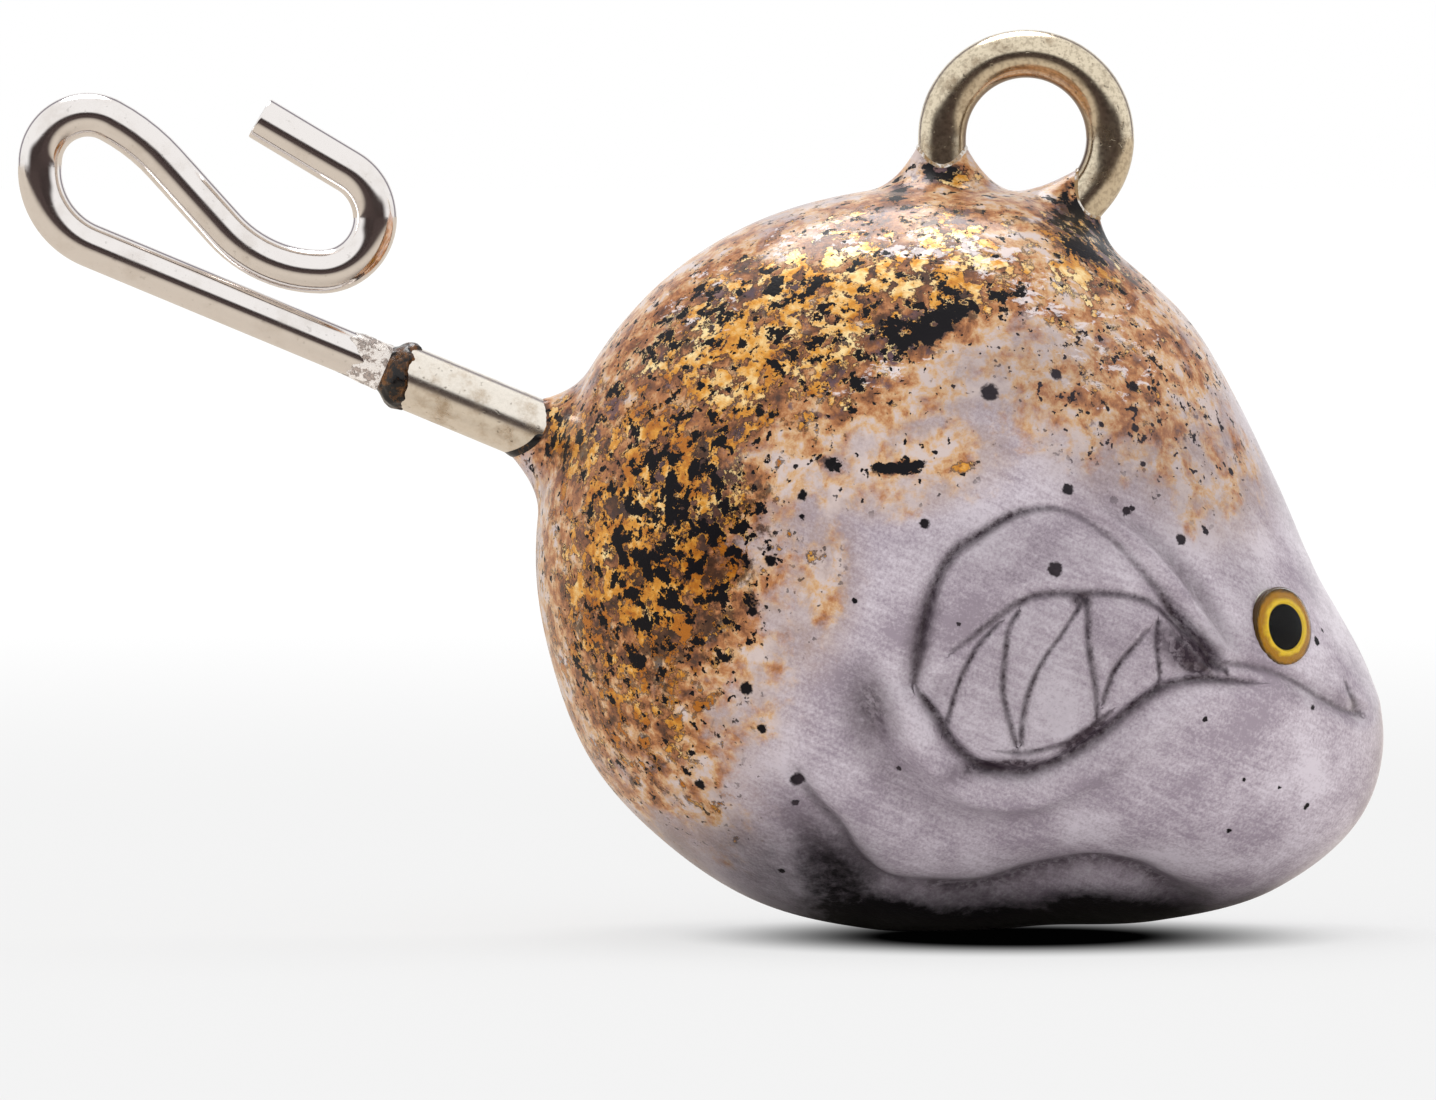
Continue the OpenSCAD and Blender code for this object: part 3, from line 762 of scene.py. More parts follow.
    specks: Line = (
        (990, 388, 9), (1137, 386, 6), (1138, 427, 4), (1142, 466, 3), (1067, 491, 6), (922, 523, 5),
        (1056, 568, 8), (1182, 537, 6), (1232, 470, 4), (856, 600, 3), (1205, 720, 3), (1308, 806, 3.5),
        (1230, 833, 3), (1313, 709, 2.5), (1244, 778, 2), (1281, 790, 2), (797, 781, 8), (796, 800, 4),
        (700, 787, 6), (782, 872, 3.5), (765, 726, 5), (745, 690, 7), (829, 462, 6), (1125, 510, 5),
        (1133, 506, 3), (1205, 530, 3.5), (1056, 375, 6), (1220, 428, 3), (1204, 530, 3), (804, 494, 5),
        (804, 516, 3), (958, 625, 2), (1100, 425, 3), (768, 562, 6), (752, 612, 5), (899, 768, 2.5),
        (1317, 642, 4.5), (1322, 632, 2.5),
    )

    def strokes(self) -> list[Stroke]:
        """Every line of the face, the teeth among them."""
        tools = list(self.lines)
        for layer, teeth in ((0, self.long_teeth), (2, self.slant_teeth)):
            for line in teeth:
                tools.append(replace(self.tooth, points=line, layer=layer))
        return tools

    def draw(self, seen: np.ndarray) -> tuple[np.ndarray, np.ndarray, list[np.ndarray]]:
        """Draws every line at points of the head.

        Args:
            seen: N pixel places.

        Returns:
            N depths in metres, N shares of soft shade, and for each layer of ink N rows that hold the
            distance to the line in millimetres, the ink's strength and its width in millimetres.
        """
        sunk, shade = np.zeros(len(seen)), np.zeros(len(seen))
        lines = [np.tile(NO_INK, (len(seen), 1)) for _ in range(INK_LAYERS)]
        nearest = [np.full(len(seen), np.inf) for _ in range(INK_LAYERS)]
        for stroke in self.strokes():
            picked, gap, strength = stroke.near(seen, self.view.pixel)
            away = np.abs(gap)
            sunk[picked] += stroke.depth * strength * np.exp(-2.0 * (away / stroke.width) ** 2)
            soft = stroke.shade * strength * np.exp(-((away / stroke.shade_width) ** 2))
            shade[picked] = np.maximum(shade[picked], soft)
            if stroke.ink > 0.0:
                edge = np.clip(stroke.reach - away / stroke.ink_width, 0.0, 1.0)
                laid = stroke.ink * np.clip(stroke.lightest + strength, 0.0, 1.0) * edge
                width = stroke.ink_width * (stroke.lightest + (1.0 - stroke.lightest) * strength)
                rows = np.column_stack([gap / MM, laid, width / MM])
                closer = away < nearest[stroke.layer][picked]
                nearest[stroke.layer][picked[closer]] = away[closer]
                lines[stroke.layer][picked[closer]] = rows[closer]
        return sunk, np.maximum(shade, self.cover(self.shades, seen)), lines

    def cover(self, patches: Sequence[Patch], seen: np.ndarray) -> np.ndarray:
        """The strongest of several patches at pixel places."""
        return np.max([patch.weight(seen) for patch in patches], axis=0)


@dataclass
class CastHead:
    """The lead head: a ball that is drawn out to the head's form, carved, flared and painted."""

    view: PhotoView
    form: HeadForm
    carving: Carving
    roots: Sequence[Root]
    eyes: Sequence[tuple[Vector, Vector, float]]
    segments: int = 336
    rings: int = 212
    fine_rings: float = 0.58
    fine_share: float = 0.5
    fine_angle: float = 30.0
    rim_from: float = 0.999
    mouth_px: tuple[float, float] = (1062.0, 672.0)
    throat: Patch = Patch(1085, 915, 150, 62, 0, 1.0 * MM)
    cheek_rise: float = 4.0
    fine_past_metal: float = 0.5 * MM
    fine_past_eye: float = 0.45 * MM
    seat_share: float = 0.97
    seat_soft_share: float = 0.12
    seat_past: float = 1.2
    seat_reach: float = 2.0 * MM
    seat_depth: float = 0.22 * MM
    bare_edge: float = 0.2 * MM
    # Along the seam the gilding, copper and highlight masks thin out and leave the lilac as a pale band at
    # the outline. The band is partly painted rim reflection and partly a seam that the colours missed.
    pale_rim_fade: float = 1.3 * MM
    pale_rim_least_cover: float = 0.85
    cover_past_metal: float = 1.7 * MM

    def build(self) -> Piece:
        """Makes the head.

        Returns:
            The finished piece, with its paint masks as attributes.
        """
        let_go()
        bpy.ops.mesh.primitive_uv_sphere_add(segments=self.segments, ring_count=self.rings, radius=1.0)
        head = bpy.context.active_object
        head.name = head.data.name = "cast_head"
        self._draw_out(head)
        self._divide_near_metal(head)
        self._carve(head)
        take(head)
        bpy.ops.object.shade_smooth()
        let_go()
        return head

    def _mouth(self) -> np.ndarray:
        """The middle of the mouth in the side view."""
        across = (self.mouth_px[0] - self.view.origin_px[0]) * self.view.pixel
        up = (self.view.origin_px[1] - self.mouth_px[1]) * self.view.pixel
        return np.array((across, up))

    def _draw_out(self, head: Piece) -> None:
        """Moves the ball's points to the smooth head, with close rings round the mouth.

        Args:
            head: A ball of radius 1 with its poles on Z.
        """
        ball = read_points(head)
        polar = np.degrees(np.arccos(np.clip(np.abs(ball[:, 2]), 0.0, 1.0))) / 90.0
        fine = self.fine_share * polar / self.fine_rings
        past = (polar - self.fine_rings) / (1.0 - self.fine_rings)
        angle = self.fine_angle + (90.0 - self.fine_angle) * past
        share = np.where(polar < self.fine_rings, fine, np.sin(np.radians(angle)))
        around = np.arctan2(ball[:, 1], ball[:, 0])
        ways = np.column_stack([np.cos(around), np.sin(around)])
        side_view = self._mouth() + ways * (self.form.reach(self._mouth(), ways) * share)[:, None]
        side = np.where(polar > self.rim_from, 0.0, -np.sign(ball[:, 2]))
        points = np.column_stack([side_view[:, 0], side * self.form.half_width(side_view), side_view[:, 1]])
        write_points(head, points)

    def _divide_near_metal(self, head: Piece) -> None:
        """Divides the faces round the metal and the eyes, where the lead takes sharper shapes.

        Args:
            head: The smooth head.
        """
        count = len(head.data.polygons)
        centres = np.empty(count * 3)
        head.data.polygons.foreach_get("center", centres)
        centres = centres.reshape(-1, 3)
        near = np.zeros(count, bool)
        spots = [(root.place, root.metal + root.spread + self.fine_past_metal) for root in self.roots]
        spots += [(place, radius + self.fine_past_eye) for place, _, radius in self.eyes]
        for place, reach in spots:
            near |= np.linalg.norm(centres - np.array(place), axis=1) < reach
        for layer in (head.data.vertices, head.data.edges):
            layer.foreach_set("select", np.zeros(len(layer), bool))
        head.data.polygons.foreach_set("select", near)
        with editing(head):
            bpy.ops.mesh.subdivide(number_cuts=1)
        LOG.info("head divided near the metal: %d faces", len(head.data.polygons))

    def _carve(self, head: Piece) -> None:
        """Carves the face, sinks the eyes' seats, draws out the flares, files the belly and stores masks.

        Args:
            head: The smooth head.
        """
        points = read_points(head)
        normals = read_normals(head)
        seen = self.view.seen(points)
        sunk, shade, lines = self.carving.draw(seen)
        cheek = np.clip(np.abs(points[:, 1]) / (self.form.width / 2), 0.0, 1.0)
        sunk = sunk * np.clip(cheek * self.cheek_rise, 0.0, 1.0) + self.throat.weight(seen) * cheek
        snout = self.carving.snout
        picked, gap, strength = snout.near(seen, self.view.pixel)
        sunk[picked] += snout.depth * strength * np.exp(-2.0 * (gap / snout.width) ** 2)
        for place, axis, radius in self.eyes:
            up, _, away = round_axis(points, place, axis)
            level = np.clip((radius * self.seat_share - away) / (radius * self.seat_soft_share), 0.0, 1.0)
            beside = (away < radius * self.seat_past) & (np.abs(up) < self.seat_reach)
            sunk = np.where(beside, sunk + level * self.seat_depth, sunk)
        points = points - normals * sunk[:, None]
        for root in self.roots:
            points = points + np.array(root.way.normalized()) * root.lift(points)[:, None]
        points[:, 2] = np.maximum(points[:, 2], 0.0)
        write_points(head, points)
        seen = self.view.seen(points)
        for i, rows in enumerate(lines):
            paint(head, f"line_{i}", rows)
        # Pale band along the seam at the outline: partly painted rim reflection and partly a seam that the
        # colours missed.
        off_seam = (np.abs(points[:, 1]) - self.bare_edge) / self.pale_rim_fade
        cover_off_pale_rim = np.clip(off_seam, self.pale_rim_least_cover, 1.0)
        for root in self.roots:
            away = np.linalg.norm(points - np.array(root.place), axis=1)
            cover_off_pale_rim = np.maximum(cover_off_pale_rim, np.exp(-((away / (root.metal + self.cover_past_metal)) ** 4)))
        # The last of these masks is the painted highlight over the top of the head.
        for name in ("gilding", "copper", "tarnish", "painted_highlight"):
            paint(head, name, self.carving.cover(getattr(self.carving, name), seen) * cover_off_pale_rim)
        # Black paint and painted shade under the belly and chin.
        paint(head, "belly_black_and_shade", self.carving.cover(self.carving.belly_black_and_shade, seen))
        paint(head, "shade", shade)

    def speck_places(self, head: Piece) -> list[tuple[Vector, float]]:
        """Finds the painted specks on the finished head.

        Args:
            head: The finished head.

        Returns:
            Each speck's point, with its Y made positive, and its radius.
        """
        points = read_points(head)
        near_side = points[points[:, 1] < -self.bare_edge]
        seen = self.view.seen(near_side)
        places = []
        for x, y, radius in self.carving.specks:
            nearest = near_side[np.argmin(np.hypot(seen[:, 0] - x, seen[:, 1] - y))]
            places.append((Vector((nearest[0], abs(nearest[1]), nearest[2])), radius * self.view.pixel))
        return places


def read_points(piece: Piece) -> np.ndarray:
    """The points of a piece's mesh."""
    flat = np.empty(len(piece.data.vertices) * 3)
    piece.data.vertices.foreach_get("co", flat)
    return flat.reshape(-1, 3)


def read_normals(piece: Piece) -> np.ndarray:
    """The outward directions at a mesh's points."""
    flat = np.empty(len(piece.data.vertices) * 3, np.float32)
    piece.data.vertex_normals.foreach_get("vector", flat)
    return flat.reshape(-1, 3).astype(float)


def write_points(piece: Piece, points: np.ndarray) -> None:
    """Moves the points of a piece's mesh to as many places, in metres."""
    piece.data.vertices.foreach_set("co", points.ravel())
    piece.data.update()


def paint(piece: Piece, name: str, values: np.ndarray) -> None:
    """Stores a mask on a mesh's points.

    Args:
        piece: The piece.
        name: The mask's name.
        values: One number a point, or three.
    """
    if values.ndim == 1:
        layer = piece.data.attributes.new(name, "FLOAT", "POINT")
        layer.data.foreach_set("value", values.astype(np.float32))
    else:
        layer = piece.data.attributes.new(name, "FLOAT_VECTOR", "POINT")
        layer.data.foreach_set("vector", values.astype(np.float32).ravel())


# Materials


class Web:
    """Nodes of one tree, laid and linked in the order that they are asked for.

    Its coordinates, at, are what patterns follow once they are measured.
    """

    def __init__(self, tree: bpy.types.NodeTree) -> None:
        """Starts with an empty tree."""
        self.tree = tree
        self.at: Feed = (0.0, 0.0, 0.0)
        tree.nodes.clear()

    def lay(
        self, kind: str, feeds: dict[Union[str, int], Feed] | None = None, **settings: object
    ) -> bpy.types.Node:
        """Adds a node.

        Args:
            kind: The node's type.
            feeds: What each input gets: another node's output, or a plain value.
            **settings: The node's own settings.

        Returns:
            The node.
        """
        node = self.tree.nodes.new(kind)
        for name, value in settings.items():
            setattr(node, name, value)
        for key, feed in (feeds or {}).items():
            if isinstance(feed, Socket):
                self.join(feed, node.inputs[key])
            else:
                node.inputs[key].default_value = feed
        return node

    def join(self, source: Socket, target: Socket) -> None:
        """Links an output to an input."""
        self.tree.links.new(source, target)

    def reckon(self, operation: str, *terms: Feed, clamp: bool = False) -> Socket:
        """The result of one arithmetic step."""
        feeds = dict(enumerate(terms))
        return self.lay("ShaderNodeMath", feeds, operation=operation, use_clamp=clamp).outputs[0]

    def plus(self, first: Feed, second: Feed) -> Socket:
        """A sum."""
        return self.reckon("ADD", first, second)

    def less(self, first: Feed, second: Feed, clamp: bool = False) -> Socket:
        """A difference."""
        return self.reckon("SUBTRACT", first, second, clamp=clamp)

    def times(self, first: Feed, second: Feed, clamp: bool = False) -> Socket:
        """A product."""
        return self.reckon("MULTIPLY", first, second, clamp=clamp)

    def scaled(self, value: Feed, factor: Feed, shift: Feed) -> Socket:
        """A value times a factor, and something added."""
        return self.reckon("MULTIPLY_ADD", value, factor, shift)

    def most(self, first: Feed, second: Feed) -> Socket:
        """The greater of two."""
        return self.reckon("MAXIMUM", first, second)

    def vector(self, operation: str, *terms: Feed) -> Socket:
        """The result of one step with vectors, itself a vector."""
        feeds = dict(enumerate(terms))
        return self.lay("ShaderNodeVectorMath", feeds, operation=operation).outputs[0]

    def length(self, operation: str, *terms: Feed) -> Socket:
        """The result of one step with vectors, a plain number."""
        feeds = dict(enumerate(terms))
        return self.lay("ShaderNodeVectorMath", feeds, operation=operation).outputs["Value"]

    def parts(self, vector: Feed) -> bpy.types.bpy_prop_collection:
        """The three coordinates of a vector."""
        return self.lay("ShaderNodeSeparateXYZ", {0: vector}).outputs

    def bump(self, strength: float, distance: float, height: Feed) -> Socket:
        """A relief that the light sees."""
        feeds = {"Strength": strength, "Distance": distance, "Height": height}
        return self.lay("ShaderNodeBump", feeds).outputs[0]

    def surface(self, feeds: dict[str, Feed]) -> None:
        """Ends a material with the usual shader."""
        shader = self.lay("ShaderNodeBsdfPrincipled", feeds)
        self.lay("ShaderNodeOutputMaterial", {"Surface": shader.outputs[0]})

    def step(self, value: Feed, low: Feed, high: Feed) -> Socket:
        """Rises smoothly from 0 to 1 as a value goes from low to high."""
        feeds = {"Value": value, "From Min": low, "From Max": high}
        return self.lay("ShaderNodeMapRange", feeds, interpolation_type="SMOOTHSTEP").outputs[0]

    def blend(self, share: Feed, under: Feed, over: Feed) -> Socket:
        """Lays one colour over another."""
        feeds = {0: share, 6: opaque(under), 7: opaque(over)}
        return self.lay("ShaderNodeMix", feeds, data_type="RGBA", clamp_factor=True).outputs[2]

    def noise(
        self, scale: Feed, detail: float = 3.0, rough: float = 0.55, warp: float = 0.0,
        at: Feed | None = None,
    ) -> Socket:
        """A cloudy pattern from 0 to 1, at the piece's coordinates if no others are given."""
        place = self.at if at is None else at
        feeds = {"Vector": place, "Scale": scale, "Detail": detail, "Roughness": rough, "Distortion": warp}
        return self.lay("ShaderNodeTexNoise", feeds).outputs[0]

    def ramp(self, value: Feed, stops: Sequence[tuple[float, Colour]]) -> Socket:
        """Colours a value by a row of stops."""
        node = self.lay("ShaderNodeValToRGB", {0: value})
        band = node.color_ramp
        while len(band.elements) < len(stops):
            band.elements.new(0.5)
        for element, (place, colour) in zip(band.elements, stops):
            element.position = place
            element.color = (*colour, 1.0)
        return node.outputs[0]

    def mask(self, name: str) -> Socket:
        """A mask that is stored on the mesh."""
        return self.lay("ShaderNodeAttribute", attribute_name=name).outputs["Fac"]

    def triple(self, name: str) -> bpy.types.bpy_prop_collection:
        """Three masks that are stored on the mesh as one vector."""
        return self.parts(self.lay("ShaderNodeAttribute", attribute_name=name).outputs["Vector"])

    def shifted(self, shift: float) -> Socket:
        """The same coordinates at another part of a pattern."""
        return self.vector("ADD", self.at, (shift, shift, shift))

    def measure(self) -> None:
        """Lets patterns follow the piece's own coordinates, in millimetres."""
        place = self.lay("ShaderNodeTexCoord").outputs["Object"]
        feeds = {0: place, "Scale": 1.0 / MM}
        self.at = self.lay("ShaderNodeVectorMath", feeds, operation="SCALE").outputs[0]

    def group(self, tree: bpy.types.NodeTree, feeds: dict[str, Feed]) -> bpy.types.Node:
        """Places a node group with its own values."""
        return self.lay("ShaderNodeGroup", feeds, node_tree=tree)


def started(name: str) -> tuple[Skin, Web]:
    """A new material, and its nodes to lay."""
    skin = bpy.data.materials.new(name)
    skin.use_nodes = True
    return skin, Web(skin.node_tree)


def darker(colour: Colour, share: float) -> Colour:
    """A colour with only a share of its light."""
    return tuple(share * value for value in colour)


def opaque(colour: Feed) -> Feed:
    """A plain colour with its alpha, or a linked one as it is."""
    return (*colour, 1.0) if isinstance(colour, tuple) and len(colour) == 3 else colour


def srgb(red: int, green: int, blue: int) -> Colour:
    """A colour as it is seen on a screen, from 0 to 255, turned into the linear values that shaders use."""
    def linear(value: int) -> float:
        """One channel of it."""
        share = value / 255.0
        return share / 12.92 if share <= 0.04045 else ((share + 0.055) / 1.055) ** 2.4

    return (linear(red), linear(green), linear(blue))


class Effects:
    """Node groups that several finishes share, each built once."""

    def _start(self, name: str, ins: Sequence[str], outs: Sequence[str]) -> tuple[Web, dict, dict]:
        """Starts a node group.

        Args:
            name: The group's name.
            ins: Names of its inputs: a vector, then plain numbers.
            outs: Names of its outputs, plain numbers.

        Returns:
            Its web, its inputs and its outputs by name.
        """
        tree = bpy.data.node_groups.new(name, "ShaderNodeTree")
        for label in ins:
            kind = "NodeSocketVector" if label == "Vector" else "NodeSocketFloat"
            tree.interface.new_socket(label, in_out="INPUT", socket_type=kind)
        for label in outs:
            tree.interface.new_socket(label, in_out="OUTPUT", socket_type="NodeSocketFloat")
        web = Web(tree)
        entry = web.lay("NodeGroupInput")
        leave = web.lay("NodeGroupOutput")
        inputs = {label: entry.outputs[label] for label in ins}
        return web, inputs, {label: leave.inputs[label] for label in outs}

    @cached_property
    def flakes(self) -> bpy.types.NodeTree:
        """Ragged flakes where a pattern rises above Level, and the border just below it."""
        labels = ("Vector", "Scale", "Level", "Edge", "Rim")
        web, ins, out = self._start("flakes", labels, ("Mask", "Border"))
        pattern = web.noise(ins["Scale"], 5.0, 0.66, 0.12, at=ins["Vector"])
        mask = web.step(pattern, ins["Level"], web.plus(ins["Level"], ins["Edge"]))
        below = web.less(ins["Level"], ins["Rim"])
        wide = web.step(pattern, below, web.plus(below, ins["Edge"]))
        web.join(mask, out["Mask"])
        web.join(web.less(wide, mask, clamp=True), out["Border"])
        return web.tree

    @cached_property
    def grime(self) -> bpy.types.NodeTree:
        """Cloudy dirt and lacquer stains with small pits."""
        web, ins, out = self._start("grime", ("Vector", "Amount"), ("Mask", "Pits"))
        cloud = web.step(web.noise(1.3, 5.0, 0.65, at=ins["Vector"]), 0.45, 0.75)
        pits = web.step(web.noise(7.0, 2.0, 0.5, at=ins["Vector"]), 0.66, 0.74)
        web.join(web.times(cloud, ins["Amount"], clamp=True), out["Mask"])
        web.join(web.times(pits, ins["Amount"], clamp=True), out["Pits"])
        return web.tree

    @cached_property
    def drawn(self) -> bpy.types.NodeTree:
        """Fine uneven streaks that scraping or brushing leaves, along the X of the vector that it gets."""
        web, ins, out = self._start("drawn", ("Vector",), ("Streaks",))
        fine = web.noise(1.0, 3.0, 0.6, at=ins["Vector"])
        web.join(fine, out["Streaks"])
        return web.tree


@dataclass(frozen=True)
class LeadFinish:
    """Lilac grey brushed paint, gold leaf, copper and black under lacquer, ink in the carved lines, painted
    shade and highlights.
    """

    lilac_deep: Colour = srgb(156, 143, 154)
    lilac: Colour = srgb(186, 174, 183)
    lilac_pale: Colour = srgb(210, 200, 208)
    haze: Colour = srgb(166, 140, 124)
    shade: Colour = srgb(92, 80, 88)
    # Colour of the deepest painted shade.
    deep: Colour = srgb(56, 44, 50)
    ink: Colour = srgb(46, 34, 44)
    umber: Colour = srgb(66, 38, 22)
    rust: Colour = srgb(124, 72, 36)
    copper: Colour = srgb(178, 116, 66)
    tan: Colour = srgb(208, 166, 120)
    blush: Colour = srgb(206, 188, 182)
    grime: Colour = srgb(48, 28, 16)
    # Colour of the painted highlight streaks.
    pale: Colour = srgb(232, 220, 220)
    dusk: Colour = srgb(84, 66, 80)
    black: Colour = srgb(14, 11, 16)
    gold_deep: Colour = srgb(176, 104, 24)
    gold: Colour = srgb(218, 152, 56)
    gold_pale: Colour = srgb(246, 218, 158)
    streak_tilt: float = math.radians(24.0)

    def material(self, effects: Effects, specks: Sequence[tuple[Vector, float]]) -> Skin:
        """Makes the finish.

        Args:
            effects: The shared node groups.
            specks: Points and radii of the black specks.

        Returns:
            The material.
        """
        skin, web = started("painted_lead")
        web.measure()
        streaks = self._streaks(web, effects)
        grain = web.noise(13.0, 2.0, 0.7)
        paint = self._lilac(web, streaks, grain)
        paint = self._wash(web, paint)
        paint, leaf, flecks = self._leaf(web, effects, paint)
        dots = self._specks(web, specks)
        paint = web.blend(dots, paint, self.black)
        paint, belly_black_and_shade = self._drawing(web, paint)
        dark = web.most(web.most(flecks, dots), belly_black_and_shade)
        rough = web.scaled(streaks, 0.16, 0.3)
        rough = web.scaled(leaf, -0.1, rough)
        height = web.scaled(leaf, 0.9, web.times(streaks, 0.3))
        height = web.scaled(grain, 0.35, height)
        height = web.scaled(flecks, -0.7, height)
        height = web.scaled(dots, -0.9, height)
        bump = web.bump(0.7, 0.035 * MM, height)
        web.surface({
            "Base Color": paint,
            "Metallic": web.times(leaf, 0.32),
            "Roughness": rough,
            "Specular IOR Level": 0.1,
            "Normal": bump,
            "Coat Weight": web.scaled(dark, -0.42, 0.5),
            "Coat Roughness": 0.16,
        })
        return skin

    def _streaks(self, web: Web, effects: Effects) -> Socket:
        """Brush marks that run down towards the chin."""
        feeds = {"Vector": web.at, "Rotation": (0.0, -self.streak_tilt, 0.0)}
        turned = web.lay("ShaderNodeMapping", feeds).outputs[0]
        drawn = web.vector("MULTIPLY", turned, (0.7, 2.0, 9.0))
        return web.group(effects.drawn, {"Vector": drawn}).outputs["Streaks"]

    def _lilac(self, web: Web, streaks: Feed, grain: Feed) -> Socket:
        """The clouded grey lilac that the head is first painted with."""
        cloud = web.noise(0.42, 5.0, 0.62)
        value = web.scaled(streaks, 0.26, web.times(cloud, 0.74))
        value = web.scaled(web.less(grain, 0.5), 0.42, value)
        return web.ramp(value, [(0.38, self.lilac_deep), (0.5, self.lilac), (0.62, self.lilac_pale)])

    def _wash(self, web: Web, paint: Feed) -> Socket:
        """Soft clouds of tan, copper and rust, and dark grime, over the back and the top."""
        copper, tarnish = web.mask("copper"), web.mask("tarnish")
        broken = web.noise(2.2, 5.0, 0.7, at=web.shifted(41.0))
        haze = web.times(web.step(copper, 0.02, 0.55), web.scaled(broken, 1.6, -0.1), clamp=True)
        paint = web.blend(web.times(haze, 0.8), paint, self.haze)
        level = web.scaled(copper, -0.52, 0.64)
        cloud = web.noise(0.9, 6.0, 0.66, 0.2, at=web.shifted(17.0))
        cover = web.times(web.step(cloud, level, web.plus(level, 0.24)), web.step(copper, 0.03, 0.25))
        tones = web.noise(1.5, 7.0, 0.66, 0.2, at=web.shifted(13.0))
        tones = web.scaled(tarnish, -0.15, tones)
        tones = web.plus(tones, web.scaled(web.mask("gilding"), -0.085, 0.075))
        colours = (self.umber, self.rust, self.copper, self.tan, self.blush)
        tones = web.ramp(tones, list(zip((0.28, 0.37, 0.46, 0.54, 0.62), colours)))
        paint = web.blend(web.times(cover, 0.97), paint, tones)
        level = web.scaled(tarnish, -0.22, 0.64)
        smoke = web.noise(1.6, 6.0, 0.66, 0.2, at=web.shifted(5.0))
        tones_of_dirt = web.noise(0.7, 3.0, at=web.shifted(23.0))
        cover = web.times(web.step(smoke, level, web.plus(level, 0.1)), web.step(tarnish, 0.05, 0.3))
        height = web.parts(web.at)["Z"]
        dusky = web.times(web.step(tones_of_dirt, 0.42, 0.56), web.step(height, 9.0, 14.0))
        dirt = web.blend(dusky, self.grime, self.dusk)
        return web.blend(web.times(cover, 0.8), paint, dirt)

    def _leaf(self, web: Web, effects: Effects, paint: Feed) -> tuple[Socket, Socket, Socket]:
        """Crusty gold leaf in tones from deep to pale, with painted shadow just outside the flakes' edges,
        broken by black that gold rims again.

        Args:
            web: The material's nodes.
            effects: The shared node groups.
            paint: The colour under it.

        Returns:
            The new colour, the mask of the gold and the mask of the black.
        """
        gilding, tarnish = web.mask("gilding"), web.mask("tarnish")
        level = web.scaled(gilding, -0.265, 0.73)
        feeds = {"Vector": web.shifted(7.0), "Scale": 1.95, "Level": level, "Edge": 0.03, "Rim": 0.045}
        crust = web.group(effects.flakes, feeds).outputs
        inside = web.step(gilding, 0.04, 0.2)
        gold = web.times(crust["Mask"], inside)
        level = web.scaled(tarnish, -0.17, 0.66)
        feeds = {"Vector": web.shifted(31.0), "Scale": 2.2, "Level": level, "Edge": 0.02, "Rim": 0.03}
        black = web.group(effects.flakes, feeds).outputs
        flecks = web.times(black["Mask"], web.step(tarnish, 0.04, 0.2))
        rim = web.times(black["Border"], web.step(gilding, 0.3, 0.7))
        rim = web.times(rim, web.step(web.noise(4.0, 2.0), 0.46, 0.5))
        height = web.parts(web.at)["Z"]
        tones = web.scaled(web.noise(0.8, 3.0), 0.65, web.times(web.noise(5.0, 3.0), 0.35))
        tones = web.scaled(web.step(height, 8.0, 17.0), 0.11, tones)
        tones = web.ramp(tones, [(0.47, self.gold_deep), (0.57, self.gold), (0.69, self.gold_pale)])
        # Painted shadow: dark brown just outside the edges of the gold flakes.
        flake_edge_shadow = web.times(web.times(crust["Border"], inside), 0.7)
        paint = web.blend(flake_edge_shadow, paint, self.grime)
        paint = web.blend(gold, paint, tones)
        # Painted highlight streaks over the top.
        paint = self._painted_highlight_streaks(web, paint)
        paint = web.blend(flecks, paint, self.black)
        paint = web.blend(rim, paint, tones)
        small = web.step(web.noise(4.8, 2.0, 0.5, at=web.shifted(3.0)), 0.655, 0.685)
        small = web.times(small, web.step(web.mask("copper"), 0.25, 0.6))
        paint = web.blend(small, paint, self.black)
        bare = web.less(1.0, flecks)
        leaf = web.most(web.times(gold, bare), rim)
        return paint, leaf, web.most(flecks, small)

    def _painted_highlight_streaks(self, web: Web, paint: Feed) -> Socket:
        """Painted highlight over the top of the head, in short pale crackled streaks."""
        painted_highlight = web.mask("painted_highlight")
        flat = web.vector("MULTIPLY", web.at, (1.5, 1.5, 3.2))
        level = web.scaled(painted_highlight, -0.19, 0.65)
        crackle = web.step(web.noise(1.2, 6.0, 0.7, 0.3, at=flat), level, web.plus(level, 0.06))
        cover = web.times(web.times(crackle, 0.8), web.step(painted_highlight, 0.04, 0.3))
        return web.blend(cover, paint, self.pale)

    def _drawing(self, web: Web, paint: Feed) -> tuple[Socket, Socket]:
        """Painted shade along creases and hollows, black paint and painted shade under the belly, and the
        crisp ragged ink lines of the face.

        Args:
            web: The material's nodes.
            paint: The colour under them.

        Returns:
            The new colour and the mask of the black paint and painted shade under the belly.
        """
        # Painted shade along creases and hollows, and a deeper painted shade where its mask is strongest.
        broken = web.noise(3.2, 5.0, 0.7)
        mask = web.mask("shade")
        shade = web.times(mask, web.scaled(broken, 1.4, 0.2), clamp=True)
        paint = web.blend(shade, paint, self.shade)
        deep = web.times(web.step(mask, 0.72, 1.15), web.scaled(broken, 1.6, 0.0), clamp=True)
        paint = web.blend(web.times(deep, 0.85), paint, self.deep)
        crumbs = web.times(web.step(web.noise(6.0, 3.0, 0.6), 0.45, 0.55), web.step(mask, 0.62, 0.95))
        paint = web.blend(web.times(crumbs, 0.85), paint, self.ink)
